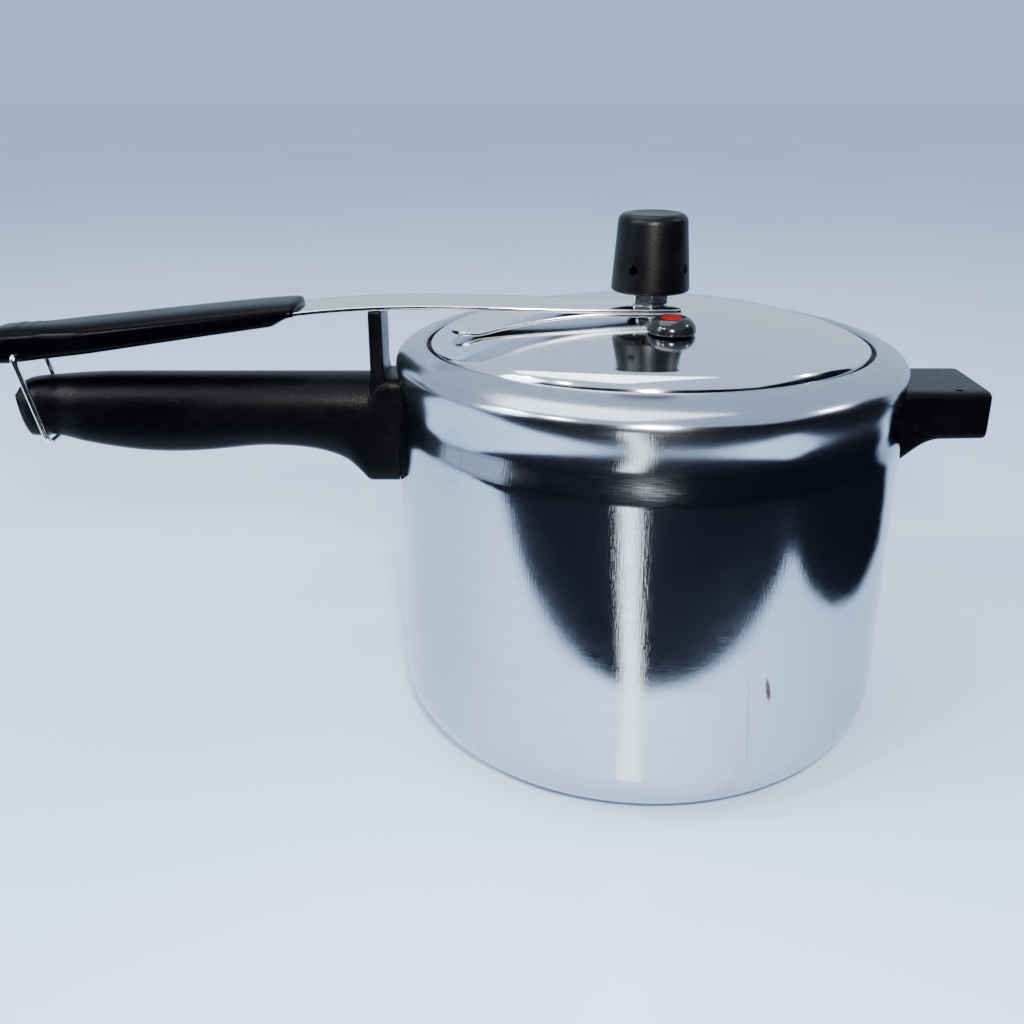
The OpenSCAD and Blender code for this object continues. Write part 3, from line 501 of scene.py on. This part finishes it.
def lid_grid(n=288):
    """The crown from its middle out, the rounded edge, the wall, the flange and the inside."""
    flat_r = LID_R - LID_EDGE_W
    cone = lambda r, rise, top: top + rise * (1 - r / flat_r)
    out = np.linspace(2, flat_r, 70)
    edge = oval_arc(flat_r, LID_EDGE_Z, LID_EDGE_W, LID_EDGE_R, 90, 0, 22)[1:]
    outside = lid_surface(
        np.concatenate([out, edge[:, 0]]),
        np.concatenate([cone(out, CONE_RISE, LID_EDGE_Z + LID_EDGE_R), edge[:, 1]]), 0, n)
    down = FLANGE_Z + LID_T
    skirt = np.array([
        [LID_R, LID_EDGE_Z - 2.0], [LID_R, down + 1.2], [LID_R + 0.35, down + 0.35], [LID_R + 1.2, down],
        [FLANGE_R - 0.3, down], [FLANGE_R, down - 0.3], [FLANGE_R, FLANGE_Z + 0.3],
        [FLANGE_R - 0.3, FLANGE_Z], [LID_R - 0.8, FLANGE_Z], [LID_R - LID_T, FLANGE_Z + 0.8],
        [LID_R - LID_T, LID_EDGE_Z - 3.0]])
    angle = math.pi + TAU * np.arange(n) / n
    wall = np.stack([skirt[:, :1] * np.cos(angle), OVAL * skirt[:, :1] * np.sin(angle),
                     skirt[:, 1:] + 0 * angle], -1)
    in_edge = oval_arc(flat_r, LID_EDGE_Z, LID_EDGE_W - LID_T, LID_EDGE_R - LID_T, 0, 90, 16)
    back = np.linspace(flat_r, 2, 40)[1:]
    inside = lid_surface(
        np.concatenate([in_edge[:, 0], back]),
        np.concatenate([in_edge[:, 1], cone(back, CONE_RISE, LID_EDGE_Z + LID_EDGE_R - LID_T)]), LID_T, n)
    return np.concatenate([outside, wall, inside])


grid_piece("lid_dome", lid_grid(), "lid_and_arm", lid_metal, ["lid_shell"], 50)

# ---- Spring arm and leaf spring ----


def arm_top(x):
    """Height of the arm's top: flat at the stem, a low arch, a circular bend, then a straight slope."""
    x = np.asarray(x, float)
    along = np.clip((ARM_FLAT_X - x) / (ARM_FLAT_X - ARM_ARCH_X), 0, 1)
    arch = ARM_Z + ARM_ARCH * (1 - np.cos(math.pi * along)) / 2
    away = np.clip(ARM_ARCH_X - x, 0, ARM_ARCH_X - ARM_BEND_END)
    bend = ARM_BEND_R - np.sqrt(ARM_BEND_R**2 - away**2)
    slope = np.clip(ARM_BEND_END - x, 0, None) * math.tan(ARM_SLOPE)
    return arch - bend - slope


def strip_grid(x, top, thick, near, far, bevel=0.45, corner=5):
    """Sections across X of a flat strip: a rectangle from near to far, with rounded edges, given by
    quarter circles of the bevel's radius at its four corners."""
    t = np.radians(np.linspace(0, 90, corner))
    ring_y, ring_z, side_y, side_z = [], [], [], []
    for turn, (sy, sz) in enumerate(((1, 1), (-1, 1), (-1, -1), (1, -1))):
        ring_y.append(np.cos(t + turn * math.pi / 2))
        ring_z.append(np.sin(t + turn * math.pi / 2))
        side_y.append(np.full(corner, sy))
        side_z.append(np.full(corner, sz))
    ring_y, ring_z, side_y, side_z = (np.concatenate(v)[None, :] for v in (ring_y, ring_z, side_y, side_z))
    half = np.maximum((far - near) / 2, 0.02)[:, None]
    mid = ((far + near) / 2)[:, None]
    b = np.minimum(bevel, np.minimum(half, thick / 2) * 0.98)
    y = mid + side_y * (half - b) + b * ring_y
    z = (top - thick / 2)[:, None] + side_z * (thick / 2 - b) + b * ring_z
    return np.stack(np.broadcast_arrays(x[:, None], y, z), -1)


def end_rounding(x, end, radius):
    """How far a rounded corner of that radius draws the side in, near the end at x = end."""
    into = np.clip(x - (end - radius), 0, radius)
    return radius - np.sqrt(np.maximum(radius**2 - into**2, 0))


def arm_grid():
    """The arm from inside the grip to its tail past the stem; its far corner is rounded."""
    x = np.concatenate([np.linspace(arm_low[0], ARM_FLAT_X, 150),
                        np.linspace(ARM_FLAT_X + 1, ARM_TAIL - 5, 10),
                        ARM_TAIL - 5 * (1 - np.sin(np.radians(np.linspace(6, 90, 12))))])
    full = smooth_step(x, TANG_X, TANG_X + TANG_TAPER)
    half = TANG_HALF + (ARM_HALF - TANG_HALF) * full
    near = -half + 0.4 * end_rounding(x, ARM_TAIL, 2.0)
    far = half - end_rounding(x, ARM_TAIL, 5.0)
    return strip_grid(x, arm_top(x), ARM_T, near, far)


grid_piece("arm_strip", arm_grid(), "lid_and_arm", plating, ["spring_arm"], 35)

LEAF_LEN = 87.0
TOUCH_X = -0.84 * LEAF_LEN
TOUCH_Z = float(crown(TOUCH_X, 0)) + 0.3
LEAF_Z = ARM_Z - ARM_T - LEAF_T


def leaf_grid():
    """The leaf spring: face to face with the arm at the stem, then down in a long curve to where it
    presses on the lid, with a half-round tip."""
    tip = leaf_low[0]
    curve = cubic((-22, LEAF_Z), (-38, LEAF_Z - 0.4), (TOUCH_X + 18, TOUCH_Z + 4.6), (TOUCH_X, TOUCH_Z), 60)
    line = np.vstack([[ARM_TAIL, LEAF_Z], curve, [tip, TOUCH_Z - 0.2]])[::-1]
    round_x = tip + ARM_HALF * (1 - np.cos(np.radians(np.linspace(4, 90, 26))))
    x = np.concatenate([round_x, np.linspace(tip + ARM_HALF + 1, ARM_TAIL - 5, 90),
                        ARM_TAIL - 5 * (1 - np.sin(np.radians(np.linspace(6, 90, 12))))])
    low = np.interp(x, line[:, 0], line[:, 1])
    into = np.clip(tip + ARM_HALF - x, 0, ARM_HALF)
    half = np.sqrt(ARM_HALF**2 - into**2)
    near = -half + 0.4 * end_rounding(x, ARM_TAIL, 2.0)
    far = half - end_rounding(x, ARM_TAIL, 5.0)
    return strip_grid(x, low + LEAF_T, LEAF_T, near, far)


grid_piece("leaf_blade", leaf_grid(), "lid_and_arm", plating, ["leaf_spring"], 35)

# ---- Grip ----

GRIP_X0 = -151.0
GRIP_X1 = -289.0
GRIP_LOWER_X0 = GRIP_X0 - 4.0
GRIP_W = 16.5
GRIP_END_W = 12.8
BAIL_X = GRIP_X1 + 16.0
BAIL_Z = float(arm_top(BAIL_X)) - 3.3


def grip_outline():
    """Upper and lower outline of the grip from the side, as points from its outer end inwards."""
    a0, a1 = float(arm_top(GRIP_X0)), float(arm_top(GRIP_X1))
    top0 = np.array([GRIP_X0, a0 + 3.2])
    top1 = np.array([GRIP_X1 + 20, float(arm_top(GRIP_X1 + 20)) + 7.6])
    low1 = np.array([GRIP_X1 + 12, float(arm_top(GRIP_X1 + 12)) - 7.4])
    low0 = np.array([GRIP_X0 - 10, a0 - 7.0])
    upper = np.vstack([cubic(top0, top0 + [-30, -1.2], top1 + [36, 2.6], top1, 40),
                       cubic(top1, top1 + [-14, -0.3], (GRIP_X1, a1 + 9), (GRIP_X1, a1 + 2), 20)[1:]])
    lower = np.vstack([cubic((GRIP_X1, a1 - 3), (GRIP_X1, a1 - 5), low1 + [-9, -0.4], low1, 20),
                       cubic(low1, low1 + [30, 3.6], low0 + [-30, -3.8], low0, 40)[1:],
                       [[GRIP_LOWER_X0, a0 - 3.4]]])
    return upper[::-1], lower


def grip_half_width(x):
    """Half width of the grip: full along the hand, drawn in between the bail's legs, then a round end."""
    waist = GRIP_W - (GRIP_W - GRIP_END_W) * smooth_step(-x, -(BAIL_X + 34), -(BAIL_X + 7))
    round_end = np.clip((GRIP_X1 + 9 - x) / 9, 0, 1)
    flare = 0.8 * smooth_step(x, GRIP_X0 - 20, GRIP_X0)
    return (waist - flare) * (1 - 0.36 * round_end**2.4)


def nose_sweep(grid, end, depth):
    """Sweeps the inner end back into a round nose: each point there moves out along the arm by the
    depth times its share of the half width, to the power 2.2."""
    x, y = grid[..., 0], grid[..., 1]
    near_end = smooth_step(x, end - 26, end)
    grid = grid.copy()
    grid[..., 0] = x - depth * near_end * np.abs(y / GRIP_W) ** 2.2
    return grid


def grip_columns(end):
    return np.concatenate([GRIP_X1 + 12 * (1 - np.cos(np.radians(np.linspace(0, 90, 18)))),
                           np.linspace(GRIP_X1 + 13, end - 3, 90),
                           end - 3 * (1 - np.sin(np.radians(np.linspace(8, 90, 8))))])


def grip_upper_grid():
    """Upper half: a crowned superellipse standing on the arm's underside."""
    upper, _ = grip_outline()
    x = grip_columns(GRIP_X0 + 0.6)
    split = arm_top(x) - ARM_T
    shrink = end_rounding(x, GRIP_X0 + 0.6, 3.0)
    top = np.interp(x, upper[:, 0], upper[:, 1]) - 0.5 * shrink
    half = grip_half_width(x) - 0.35 * shrink
    bottom = np.minimum(split, top - 1.0)
    ridges = sum(0.25 * np.exp(-(((x - middle) / 1.1) ** 2)) for middle in (BAIL_X + 5, BAIL_X - 1))
    return nose_sweep(loft(x, top + ridges, bottom, half, 3.2, 40.0, bottom + 0.35, 72), GRIP_X0, 1.8)


def grip_lower_grid():
    """Lower half: a shallow tray under the arm, with a slanting nose."""
    _, lower = grip_outline()
    x = grip_columns(GRIP_LOWER_X0)
    split = arm_top(x) - ARM_T
    low = np.interp(x, lower[:, 0], lower[:, 1])
    half = grip_half_width(x) - 0.5 - 2.2 * smooth_step(x, GRIP_LOWER_X0 - 8, GRIP_LOWER_X0)
    tray = loft(x, split - 0.12, np.minimum(low, split - 0.6), half, 40.0, 3.4, split - 0.4, 72)
    return nose_sweep(tray, GRIP_LOWER_X0, 1.5)


grid_piece("grip_upper", grip_upper_grid(), "lid_and_arm", grip_resin, ["grip_top"], 50)
grid_piece("grip_lower", grip_lower_grid(), "lid_and_arm", grip_resin, ["grip_bottom"], 50)

# ---- Bail ----

WIRE_R = 1.25
BAIL_HALF = bail_high[1] - WIRE_R
BAIL_LEAN = math.radians(14.2)
WIRE_X = bail_high[0] - WIRE_R
WIRE_Z = bail_low[2] + WIRE_R


def bail_path():
    """Pin, round bend, leg, round bend, cross wire, and the same back up, in the leaning plane."""
    length = (BAIL_Z - WIRE_Z) / math.cos(BAIL_LEAN)
    head, foot, pin = 1.6, 3.5, 4.4
    y = BAIL_HALF
    quarter = np.radians(np.linspace(0, 90, 9))
    points = [(y - head - pin, 0), (y - head - pin / 2, 0)]
    points += [(y - head + head * math.sin(a), -head + head * math.cos(a)) for a in quarter]
    points += [(y, -head - (length - head - foot) * k) for k in (0.2, 0.4, 0.6, 0.8)]
    points += [(y - foot + foot * math.cos(a), -length + foot - foot * math.sin(a)) for a in quarter]
    points += [(k * (y - foot), -length) for k in (0.66, 0.33, 0)]
    half = np.array(points)
    flat = np.vstack([half, (half * [-1, 1])[-2::-1]])
    x = BAIL_X - flat[:, 1] * math.sin(BAIL_LEAN)
    z = BAIL_Z + flat[:, 1] * math.cos(BAIL_LEAN)
    return np.stack([x, flat[:, 0], z], 1)


grid_piece("bail_loop", tube(bail_path(), WIRE_R, 24), "bail", plating, ["bail_wire"], 60)

# ---- Long handle ----

HANDLE_LEN = 167.0
HANDLE_W = 15.0
NOSE_W = 12.8
HANDLE_TOP = POT_H - 15.8
BELLY_Z = HANDLE_TOP - 34.6
ROOT_Z = HANDLE_TOP - 47.0
NOSE_Z = BELLY_Z + 7.1
SEAT_GAP = 0.2


def handle_outline():
    """Top and underside of the long handle from the side, x measured out from the wall."""
    toe = np.array([13.5, ROOT_Z + 0.4])
    waist = np.array([54, BELLY_Z + 2.9])
    belly = np.array([0.6 * HANDLE_LEN, BELLY_Z])
    lip = np.array([HANDLE_LEN - 17, BELLY_Z + 7.4])
    notch = WIRE_Z + WIRE_R + 0.7
    nose = np.array([-WIRE_X - POT_R + WIRE_R + 0.3, NOSE_Z])
    tip = np.array([HANDLE_LEN, HANDLE_TOP - 8])
    end = np.array([HANDLE_LEN - 12, HANDLE_TOP - 1.7])
    top = np.array([HANDLE_LEN - 52, HANDLE_TOP])
    under = np.vstack([
        [[-8, ROOT_Z]], [toe - [1.5, 0.4]], [toe],
        cubic(toe, toe + [9, 10], waist - [22, 0.6], waist)[1:],
        cubic(waist, waist + [14, 0.6], belly - [22, 0], belly)[1:],
        cubic(belly, belly + [22, 0], lip - [12, 2.4], lip)[1:],
        [[lip[0] + 0.2, notch], [nose[0] - 0.2, notch], nose],
        cubic(nose + [7.5, 0], nose + [9, 0.4], tip - [0.2, 10], tip, 30)])
    over = np.vstack([
        [[-8, HANDLE_TOP]], cubic(top, top + [14, 0], end - [14, -1.2], end, 20),
        cubic(end, end + [9, -0.8], tip + [0, 5], tip, 20)[1:]])
    return over, under


def hug_wall(grid, gap):
    """Moves every point that is inside the pot's wall out to the wall plus a gap, along X only."""
    x, y, z = grid[..., 0], grid[..., 1], grid[..., 2]
    limit = np.sqrt(np.maximum((wall_radius(z) + gap) ** 2 - y**2, 0))
    side = np.sign(x)
    grid = grid.copy()
    grid[..., 0] = side * np.maximum(np.abs(x), limit)
    return grid


def handle_grid():
    """Sections across the handle: a crowned top on squarer sides, boxy at the root and drawn in
    between the bail's legs; the root follows the pot's wall and neck."""
    over, under = handle_outline()
    d = np.concatenate([[-8, -4, -1.5], np.linspace(0.2, 13, 14), np.linspace(13.6, 149.2, 130),
                        np.linspace(149.6, 154.4, 13), np.linspace(155, 162, 14),
                        HANDLE_LEN - 5 * (1 - np.sin(np.radians(np.linspace(4, 90, 16))))])
    top = np.interp(d, over[:, 0], over[:, 1])
    low = np.interp(d, under[:, 0], under[:, 1])
    neck = -WIRE_X - POT_R - 16
    half = HANDLE_W - (HANDLE_W - NOSE_W) * smooth_step(d, neck, neck + 14)
    half = half - 3.4 * np.clip((d - (HANDLE_LEN - 11)) / 11, 0, 1) ** 2.2
    square = 3.0 + 6.0 * (1 - smooth_step(d, 9, 24))
    middle = np.clip(HANDLE_TOP - 15, low + 0.35 * (top - low), None)
    crowned = 2.15 + 6.0 * (1 - smooth_step(d, 2, 12))
    grid = loft(-POT_R - d, top, low, half, crowned, square + 1.2, middle, 112)
    return hug_wall(grid, SEAT_GAP)


grid_piece("handle_main", handle_grid(), "pot", bakelite, ["long_handle"], 42)

POST_X = -POT_R - 7.6
POST_HALF = 3.0
POST_TOP = handle_high[2]
CREST_R = 12.0


def post_grid():
    """The post: a rounded rectangle in plan, with a crest curved along X so that the arm can rock."""
    turn = TAU * (np.arange(72) + 0.5) / 72
    c, s = np.cos(turn), np.sin(turn)
    px = POST_HALF * np.sign(c) * np.abs(c) ** (2 / 7.0)
    py = ARM_HALF * np.sign(s) * np.abs(s) ** (2 / 16.0)
    rings = []
    for height in np.linspace(HANDLE_TOP - 12, POST_TOP - 1.6, 24):
        foot = 1 + 0.35 * math.exp(-max(height - HANDLE_TOP + 0.6, 0) / 1.3)
        rings.append(np.stack([POST_X + px * foot, py, 0 * px + height], 1))
    for k in (1.0, 0.985, 0.94, 0.86, 0.7, 0.45, 0.15):
        x = px * k
        rounding = 0.8 * (1 - math.sqrt(max(1 - (max(k - 0.86, 0) / 0.14) ** 2, 0)))
        drop = CREST_R - np.sqrt(CREST_R**2 - x**2) + rounding
        rings.append(np.stack([POST_X + x, py * (1 - (1 - k) * 0.12), POST_TOP - drop], 1))
    return np.array(rings)


grid_piece("handle_post", post_grid(), "pot", bakelite, (), 42)

# ---- Helper handle ----

HELPER_LEN = 36.0
HELPER_W = 23.0
HELPER_TOP = POT_H - 19.3
HELPER_T = 21.0


def helper_grid():
    """Block with rounded corners in plan and soft edges; below it a flare runs down to the wall."""
    toe = np.array([0, HELPER_TOP - HELPER_T - 9.5])
    heel = np.array([15, HELPER_TOP - HELPER_T - 0.4])
    under = np.vstack([[[-8, toe[1]]], cubic(toe, toe + [5, 4], heel - [7, 1], heel),
                       [[HELPER_LEN, HELPER_TOP - HELPER_T]]])
    d = np.concatenate([[-8, -4, -1], np.linspace(0, 26, 44),
                        HELPER_LEN - 5 * (1 - np.sin(np.radians(np.linspace(8, 90, 18))))])
    low = np.interp(d, under[:, 0], under[:, 1])
    into = np.clip((d - (HELPER_LEN - 2.0)) / 2.0, 0, 1)
    soft = 2.0 * (1 - np.sqrt(np.maximum(1 - into**2, 0)))
    half = HELPER_W - end_rounding(d, HELPER_LEN, 3.0)
    top = HELPER_TOP - 0.9 * soft
    low = low + 0.9 * soft
    grid = loft(POT_R + d, top, low, half, 11.0, 11.0, (top + low) / 2, 128)
    return hug_wall(grid, SEAT_GAP)


grid_piece("helper_block", helper_grid(), "pot", bakelite, ["helper_handle"], 42)


def moulding_dot():
    """Small round gate mark on top of the helper handle: a shallow disc with a soft rim."""
    t = np.radians(np.linspace(0, 90, 8))
    r = np.concatenate([[1.5, 1.5], 1.1 + 0.4 * np.cos(t), [0.3]])
    z = np.concatenate([[-0.8, 0.0], 0.35 * np.sin(t), [0.35]]) + HELPER_TOP
    return revolve(r, z, 32, (POT_R + 23, -17))


grid_piece("helper_gate_mark", moulding_dot(), "pot", bakelite, (), 42)

# ---- Weight ----

CAP_TOP_R = 14.8
VENT_TURN = -34.4

def vented(piece, centre_z, radius):
    """Cuts four round vents through the skirt, then drops the cutters."""
    cutters = []
    for quarter in range(4):
        a = math.radians(90 * quarter + VENT_TURN)
        t = TAU * np.arange(40) / 40
        out = np.array([math.cos(a), math.sin(a), 0])
        side = np.array([-math.sin(a), math.cos(a), 0])
        up = np.array([0, 0, 1])
        ring = radius * (np.cos(t)[:, None] * side + np.sin(t)[:, None] * up) + [0, 0, centre_z]
        cutters.append(np.array([ring + 8 * out, ring + 22 * out]))
    for k, grid in enumerate(cutters):
        cutter = grid_piece(f"cutter_{k}", grid, "weight", weight_resin)
        cut = piece.modifiers.new("vent", "BOOLEAN")
        cut.object = cutter
        cut.solver = "EXACT"
        bpy.context.view_layer.update()
        solid = bpy.data.meshes.new_from_object(
            piece.evaluated_get(bpy.context.evaluated_depsgraph_get()))
        piece.modifiers.clear()
        piece.data = solid
        bpy.data.objects.remove(cutter)
    piece.data.set_sharp_from_angle(angle=math.radians(42))


def weight_profile():
    """Tapered cap: rounded skirt edge, straight taper, rounded top with a slight dish; hollow below."""
    z0, z1 = cap_low[2], cap_high[2]
    r0, r1 = cap_high[0], CAP_TOP_R
    corner = np.array([r1, z1 - 4.0])
    side = np.linspace(0, 1, 14)[:, None] * (corner - [r0, z0 + 1.2]) + [r0, z0 + 1.2]
    top = cubic(corner, corner + [0, 2.6], (r1 - 1.6, z1), (r1 - 4.2, z1), 12)[1:]
    hollow_r = r0 - 3.2
    hollow_top = core_high[2] - 13.4
    return np.vstack([
        [[1.0, hollow_top], [hollow_r - 1.0, hollow_top], [hollow_r, hollow_top - 1.0]],
        [[hollow_r, z0 + 6], [hollow_r, z0 + 0.4], [hollow_r + 0.5, z0]],
        arc(r0 - 1.0, z0 + 1.0, 1.0, -90, -6, 6), side, top,
        [[r1 - 6.5, z1 - 0.05], [r1 - 8.0, z1 - 0.25], [1.0, z1 - 0.3]]])


profile = weight_profile()
weight = grid_piece("weight_shell", revolve(profile[:, 0], profile[:, 1], 128), "weight",
                    weight_resin, ["weight_cap"], 42)
vented(weight, cap_low[2] + 10.2, 2.0)

# ---- Nut on the arm ----


def hex_nut_grid(af, low, high, bore, n=180):
    """Hexagon nut: at each angle the side is where the hexagon runs, af / 2 over the cosine of the
    angle from the nearest flat, and a 30 degree cone trims the corners at both ends."""
    angle = math.pi + TAU * np.arange(n) / n
    side = af / 2 / np.cos(np.mod(angle + math.radians(30), math.radians(60)) - math.radians(30))
    side = np.minimum(side, af / 2 / math.cos(math.radians(30)) - 0.12)
    face_r = af / 2 - 0.35
    drop = (side - face_r) * math.tan(math.radians(30))
    flat = np.zeros(n)
    rows_r = [flat + bore, flat + bore + 0.5, flat + face_r, side, side, flat + face_r, flat + bore]
    rows_z = [flat + high - 0.5, flat + high, flat + high, high - drop, low + drop, flat + low, flat + low]
    return revolve(np.array(rows_r), np.array(rows_z), n)


grid_piece("nut", hex_nut_grid(nut_high[0] - nut_low[0], nut_low[2], nut_high[2], 5.0), "lid_and_arm",
           plating, ["arm_nut"], 25, ring=True)

# ---- Safety valve ----

SAFETY = ((button_low[0] + button_high[0]) / 2, (button_low[1] + button_high[1]) / 2)
SAFETY_Z = float(crown(*SAFETY))


def button_profile():
    """Rubber button: flange and neck under the lid, a brim on it, a domed side and a dished seat."""
    r = (button_high[0] - button_low[0]) / 2
    top = button_high[2]
    return np.vstack([
        [[2.6, button_low[2]], [7.4, button_low[2]], [8.4, button_low[2] + 1.2], [5.8, SAFETY_Z - 2.2]],
        [[5.8, SAFETY_Z + 0.4], [r - 0.7, SAFETY_Z + 0.35]],
        arc(r - 0.6, SAFETY_Z + 1.0, 0.6, -90, 0, 5),
        cubic((r, SAFETY_Z + 1.3), (r, SAFETY_Z + 4.7), (r - 3, top), (r - 4.2, top), 20),
        arc(5.3, top - 0.45, 0.4, 90, 180, 5), [[4.9, top - 2.3], [2.6, top - 2.4]],
        [[2.6, SAFETY_Z]]])


profile = button_profile()
grid_piece("valve_button", revolve(profile[:, 0], profile[:, 1], 96, SAFETY), "lid_and_arm",
           button_rubber, ["safety_valve_body"], 42, ring=True)


def plug_profile():
    """Red plug: a tapering stem, a flat shoulder and a gently domed head."""
    r = (plug_high[0] - plug_low[0]) / 2
    top, seat = plug_high[2], button_high[2] - 2.3
    return np.vstack([
        [[0.6, plug_low[2]], [2.0, plug_low[2] + 0.1], [2.4, seat], [r - 0.2, seat], [r, seat + 0.2]],
        cubic((r, top - 1.5), (r - 0.1, top - 0.5), (r - 1.8, top), (0.3, top), 16)])


profile = plug_profile()
grid_piece("red_plug", revolve(profile[:, 0], profile[:, 1], 72, SAFETY), "plug", plug_red,
           ["safety_plug"], 42)

# ---- Finishes of the CAD pieces that stay ----

CARRIED = {
    "lid_gasket": gasket_rubber, "stem_seal": gasket_rubber, "valve_stem": brass, "weight_core": brass,
    "stem_spacer": plating, "stem_lower_nut": dull_steel, "long_bracket": dull_steel,
    "helper_bracket": dull_steel, "long_screw": dull_steel, "helper_screw": dull_steel,
    "long_rivets": rivet_metal, "helper_rivets": rivet_metal, "grip_rivets": rivet_metal,
}
for node, material in CARRIED.items():
    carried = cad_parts[node]
    carried.data.materials.clear()
    carried.data.materials.append(material)

# ---- Floor, light and camera ----


def stage_plane(name, corners, material):
    mesh = bpy.data.meshes.new(name)
    mesh.from_pydata([tuple(c) for c in corners], [], [tuple(range(len(corners)))])
    mesh.materials.append(material)
    plane = bpy.data.objects.new(name, mesh)
    bpy.context.scene.collection.objects.link(plane)
    return plane


floor_finish = Finish("floor_finish", (0.52, 0.65, 0.82), 0.6)
cloud = floor_finish.noise(floor_finish.place("Object", (2, 2, 2)), detail=2)
floor_finish.feed("Base Color", floor_finish.mix(floor_finish.ramp(cloud, 0.3, 0.7), (0.50, 0.63, 0.81),
                                                (0.54, 0.67, 0.84)))
stage_plane("floor", [(-9, -9, 0), (9, -9, 0), (9, 9, 0), (-9, 9, 0)], floor_finish.material)


def reflected_only(plane):
    """A card that only shows in the polished metal."""
    plane.visible_camera = False
    plane.visible_diffuse = False
    plane.visible_shadow = False
    plane.visible_transmission = False
    plane.visible_volume_scatter = False


def card(name, corners, finish):
    reflected_only(stage_plane(name, corners, finish.material))


def flat_card(name, outline, finish, height=0.002):
    card(name, [(x, y, height) for x, y in outline], finish)


dark_card = Finish("dark_card", (0.004, 0.004, 0.008), 1.0, Specular_IOR_Level=0.0)
flat_card("front_dark", [(-1.6, -1.4), (1.6, -1.4), (1.6, -0.25), (-1.6, -0.186)], dark_card)
flat_card("side_dark", [(0.30, -0.26), (1.6, -0.3), (1.6, 0.6), (0.41, 0.195), (0.34, 0.165), (0.283, 0.11),
                        (0.256, 0.0), (0.25, -0.08), (0.262, -0.15), (0.287, -0.205)], dark_card)
for name, (x0, y0), (x1, y1) in (("left", (-1.6, -0.72), (-1.6, -1.4)), ("middle", (-1.6, -1.4), (1.6, -1.4)),
                                 ("right", (1.6, -1.4), (1.6, 0.6))):
    card(f"standing_dark_{name}", [(x0, y0, 0), (x1, y1, 0), (x1, y1, 1.15), (x0, y0, 1.15)], dark_card)

strip_light = Finish("strip_light", (0, 0, 0), 1.0, Emission_Color=(0.93, 0.95, 1.0, 1.0),
                     Emission_Strength=4.2)
flat_card("flash_strip", [(-0.022, -0.125), (-0.008, -0.125), (-0.014, -0.21), (-0.10, -0.70), (-0.19, -0.70),
                          (-0.036, -0.21)], strip_light, 0.004)


def area_light(name, location, target, size, power, colour=(1, 1, 1), shape="RECTANGLE"):
    data = bpy.data.lights.new(name, "AREA")
    data.shape = shape
    data.size, data.size_y = size
    data.energy = power
    data.color = colour
    lamp = bpy.data.objects.new(name, data)
    bpy.context.scene.collection.objects.link(lamp)
    lamp.location = location
    direction = np.array(target, float) - np.array(location, float)
    flat = math.hypot(direction[0], direction[1])
    turn = math.atan2(direction[0], -direction[1]) + math.pi
    lamp.rotation_euler = (math.atan2(flat, -direction[2]), 0, turn)
    return lamp


area_light("top_soft", (-0.3, 0.2, 1.5), (0, 0, 0.1), (1.3, 1.1), 18, (0.96, 0.98, 1))
area_light("flash", (-0.03, -0.52, 0.40), (0, 0, 0.12), (0.05, 0.05), 7.0, (1, 0.99, 0.97))
area_light("ceiling_1", (-1.2, -0.40, 1.15), (0, 0, 0.15), (0.07, 0.07), 7)
area_light("ceiling_2", (-0.93, -0.84, 1.15), (0, 0, 0.15), (0.09, 0.09), 8)
area_light("ceiling_3", (1.25, 0.08, 1.15), (0, 0, 0.15), (0.06, 0.06), 5)
area_light("left_soft", (-1.3, -0.5, 0.8), (0, 0, 0.1), (0.5, 0.7), 9, (0.9, 0.95, 1))

world = bpy.data.worlds.new("studio")
world.use_nodes = True
sky = world.node_tree
sky.nodes["Background"].inputs["Color"].default_value = (0.62, 0.78, 1.0, 1)
sky.nodes["Background"].inputs["Strength"].default_value = 1.1
seen = sky.nodes.new("ShaderNodeBackground")
seen.inputs["Color"].default_value = (0.45, 0.64, 1.0, 1)
seen.inputs["Strength"].default_value = 0.98
direct = sky.nodes.new("ShaderNodeLightPath")
choice = sky.nodes.new("ShaderNodeMixShader")
sky.links.new(direct.outputs["Is Camera Ray"], choice.inputs[0])
sky.links.new(sky.nodes["Background"].outputs[0], choice.inputs[1])
sky.links.new(seen.outputs[0], choice.inputs[2])
sky.links.new(choice.outputs[0], sky.nodes["World Output"].inputs["Surface"])
bpy.context.scene.world = world

camera_data = bpy.data.cameras.new("camera")
camera_data.lens = 38.67
camera_data.sensor_width = 36
camera = bpy.data.objects.new("camera", camera_data)
bpy.context.scene.collection.objects.link(camera)
camera.location = (-0.0594, -0.4746, 0.2886)
camera.rotation_euler = (math.radians(90 - 22.1), 0, 0)
bpy.context.scene.camera = camera
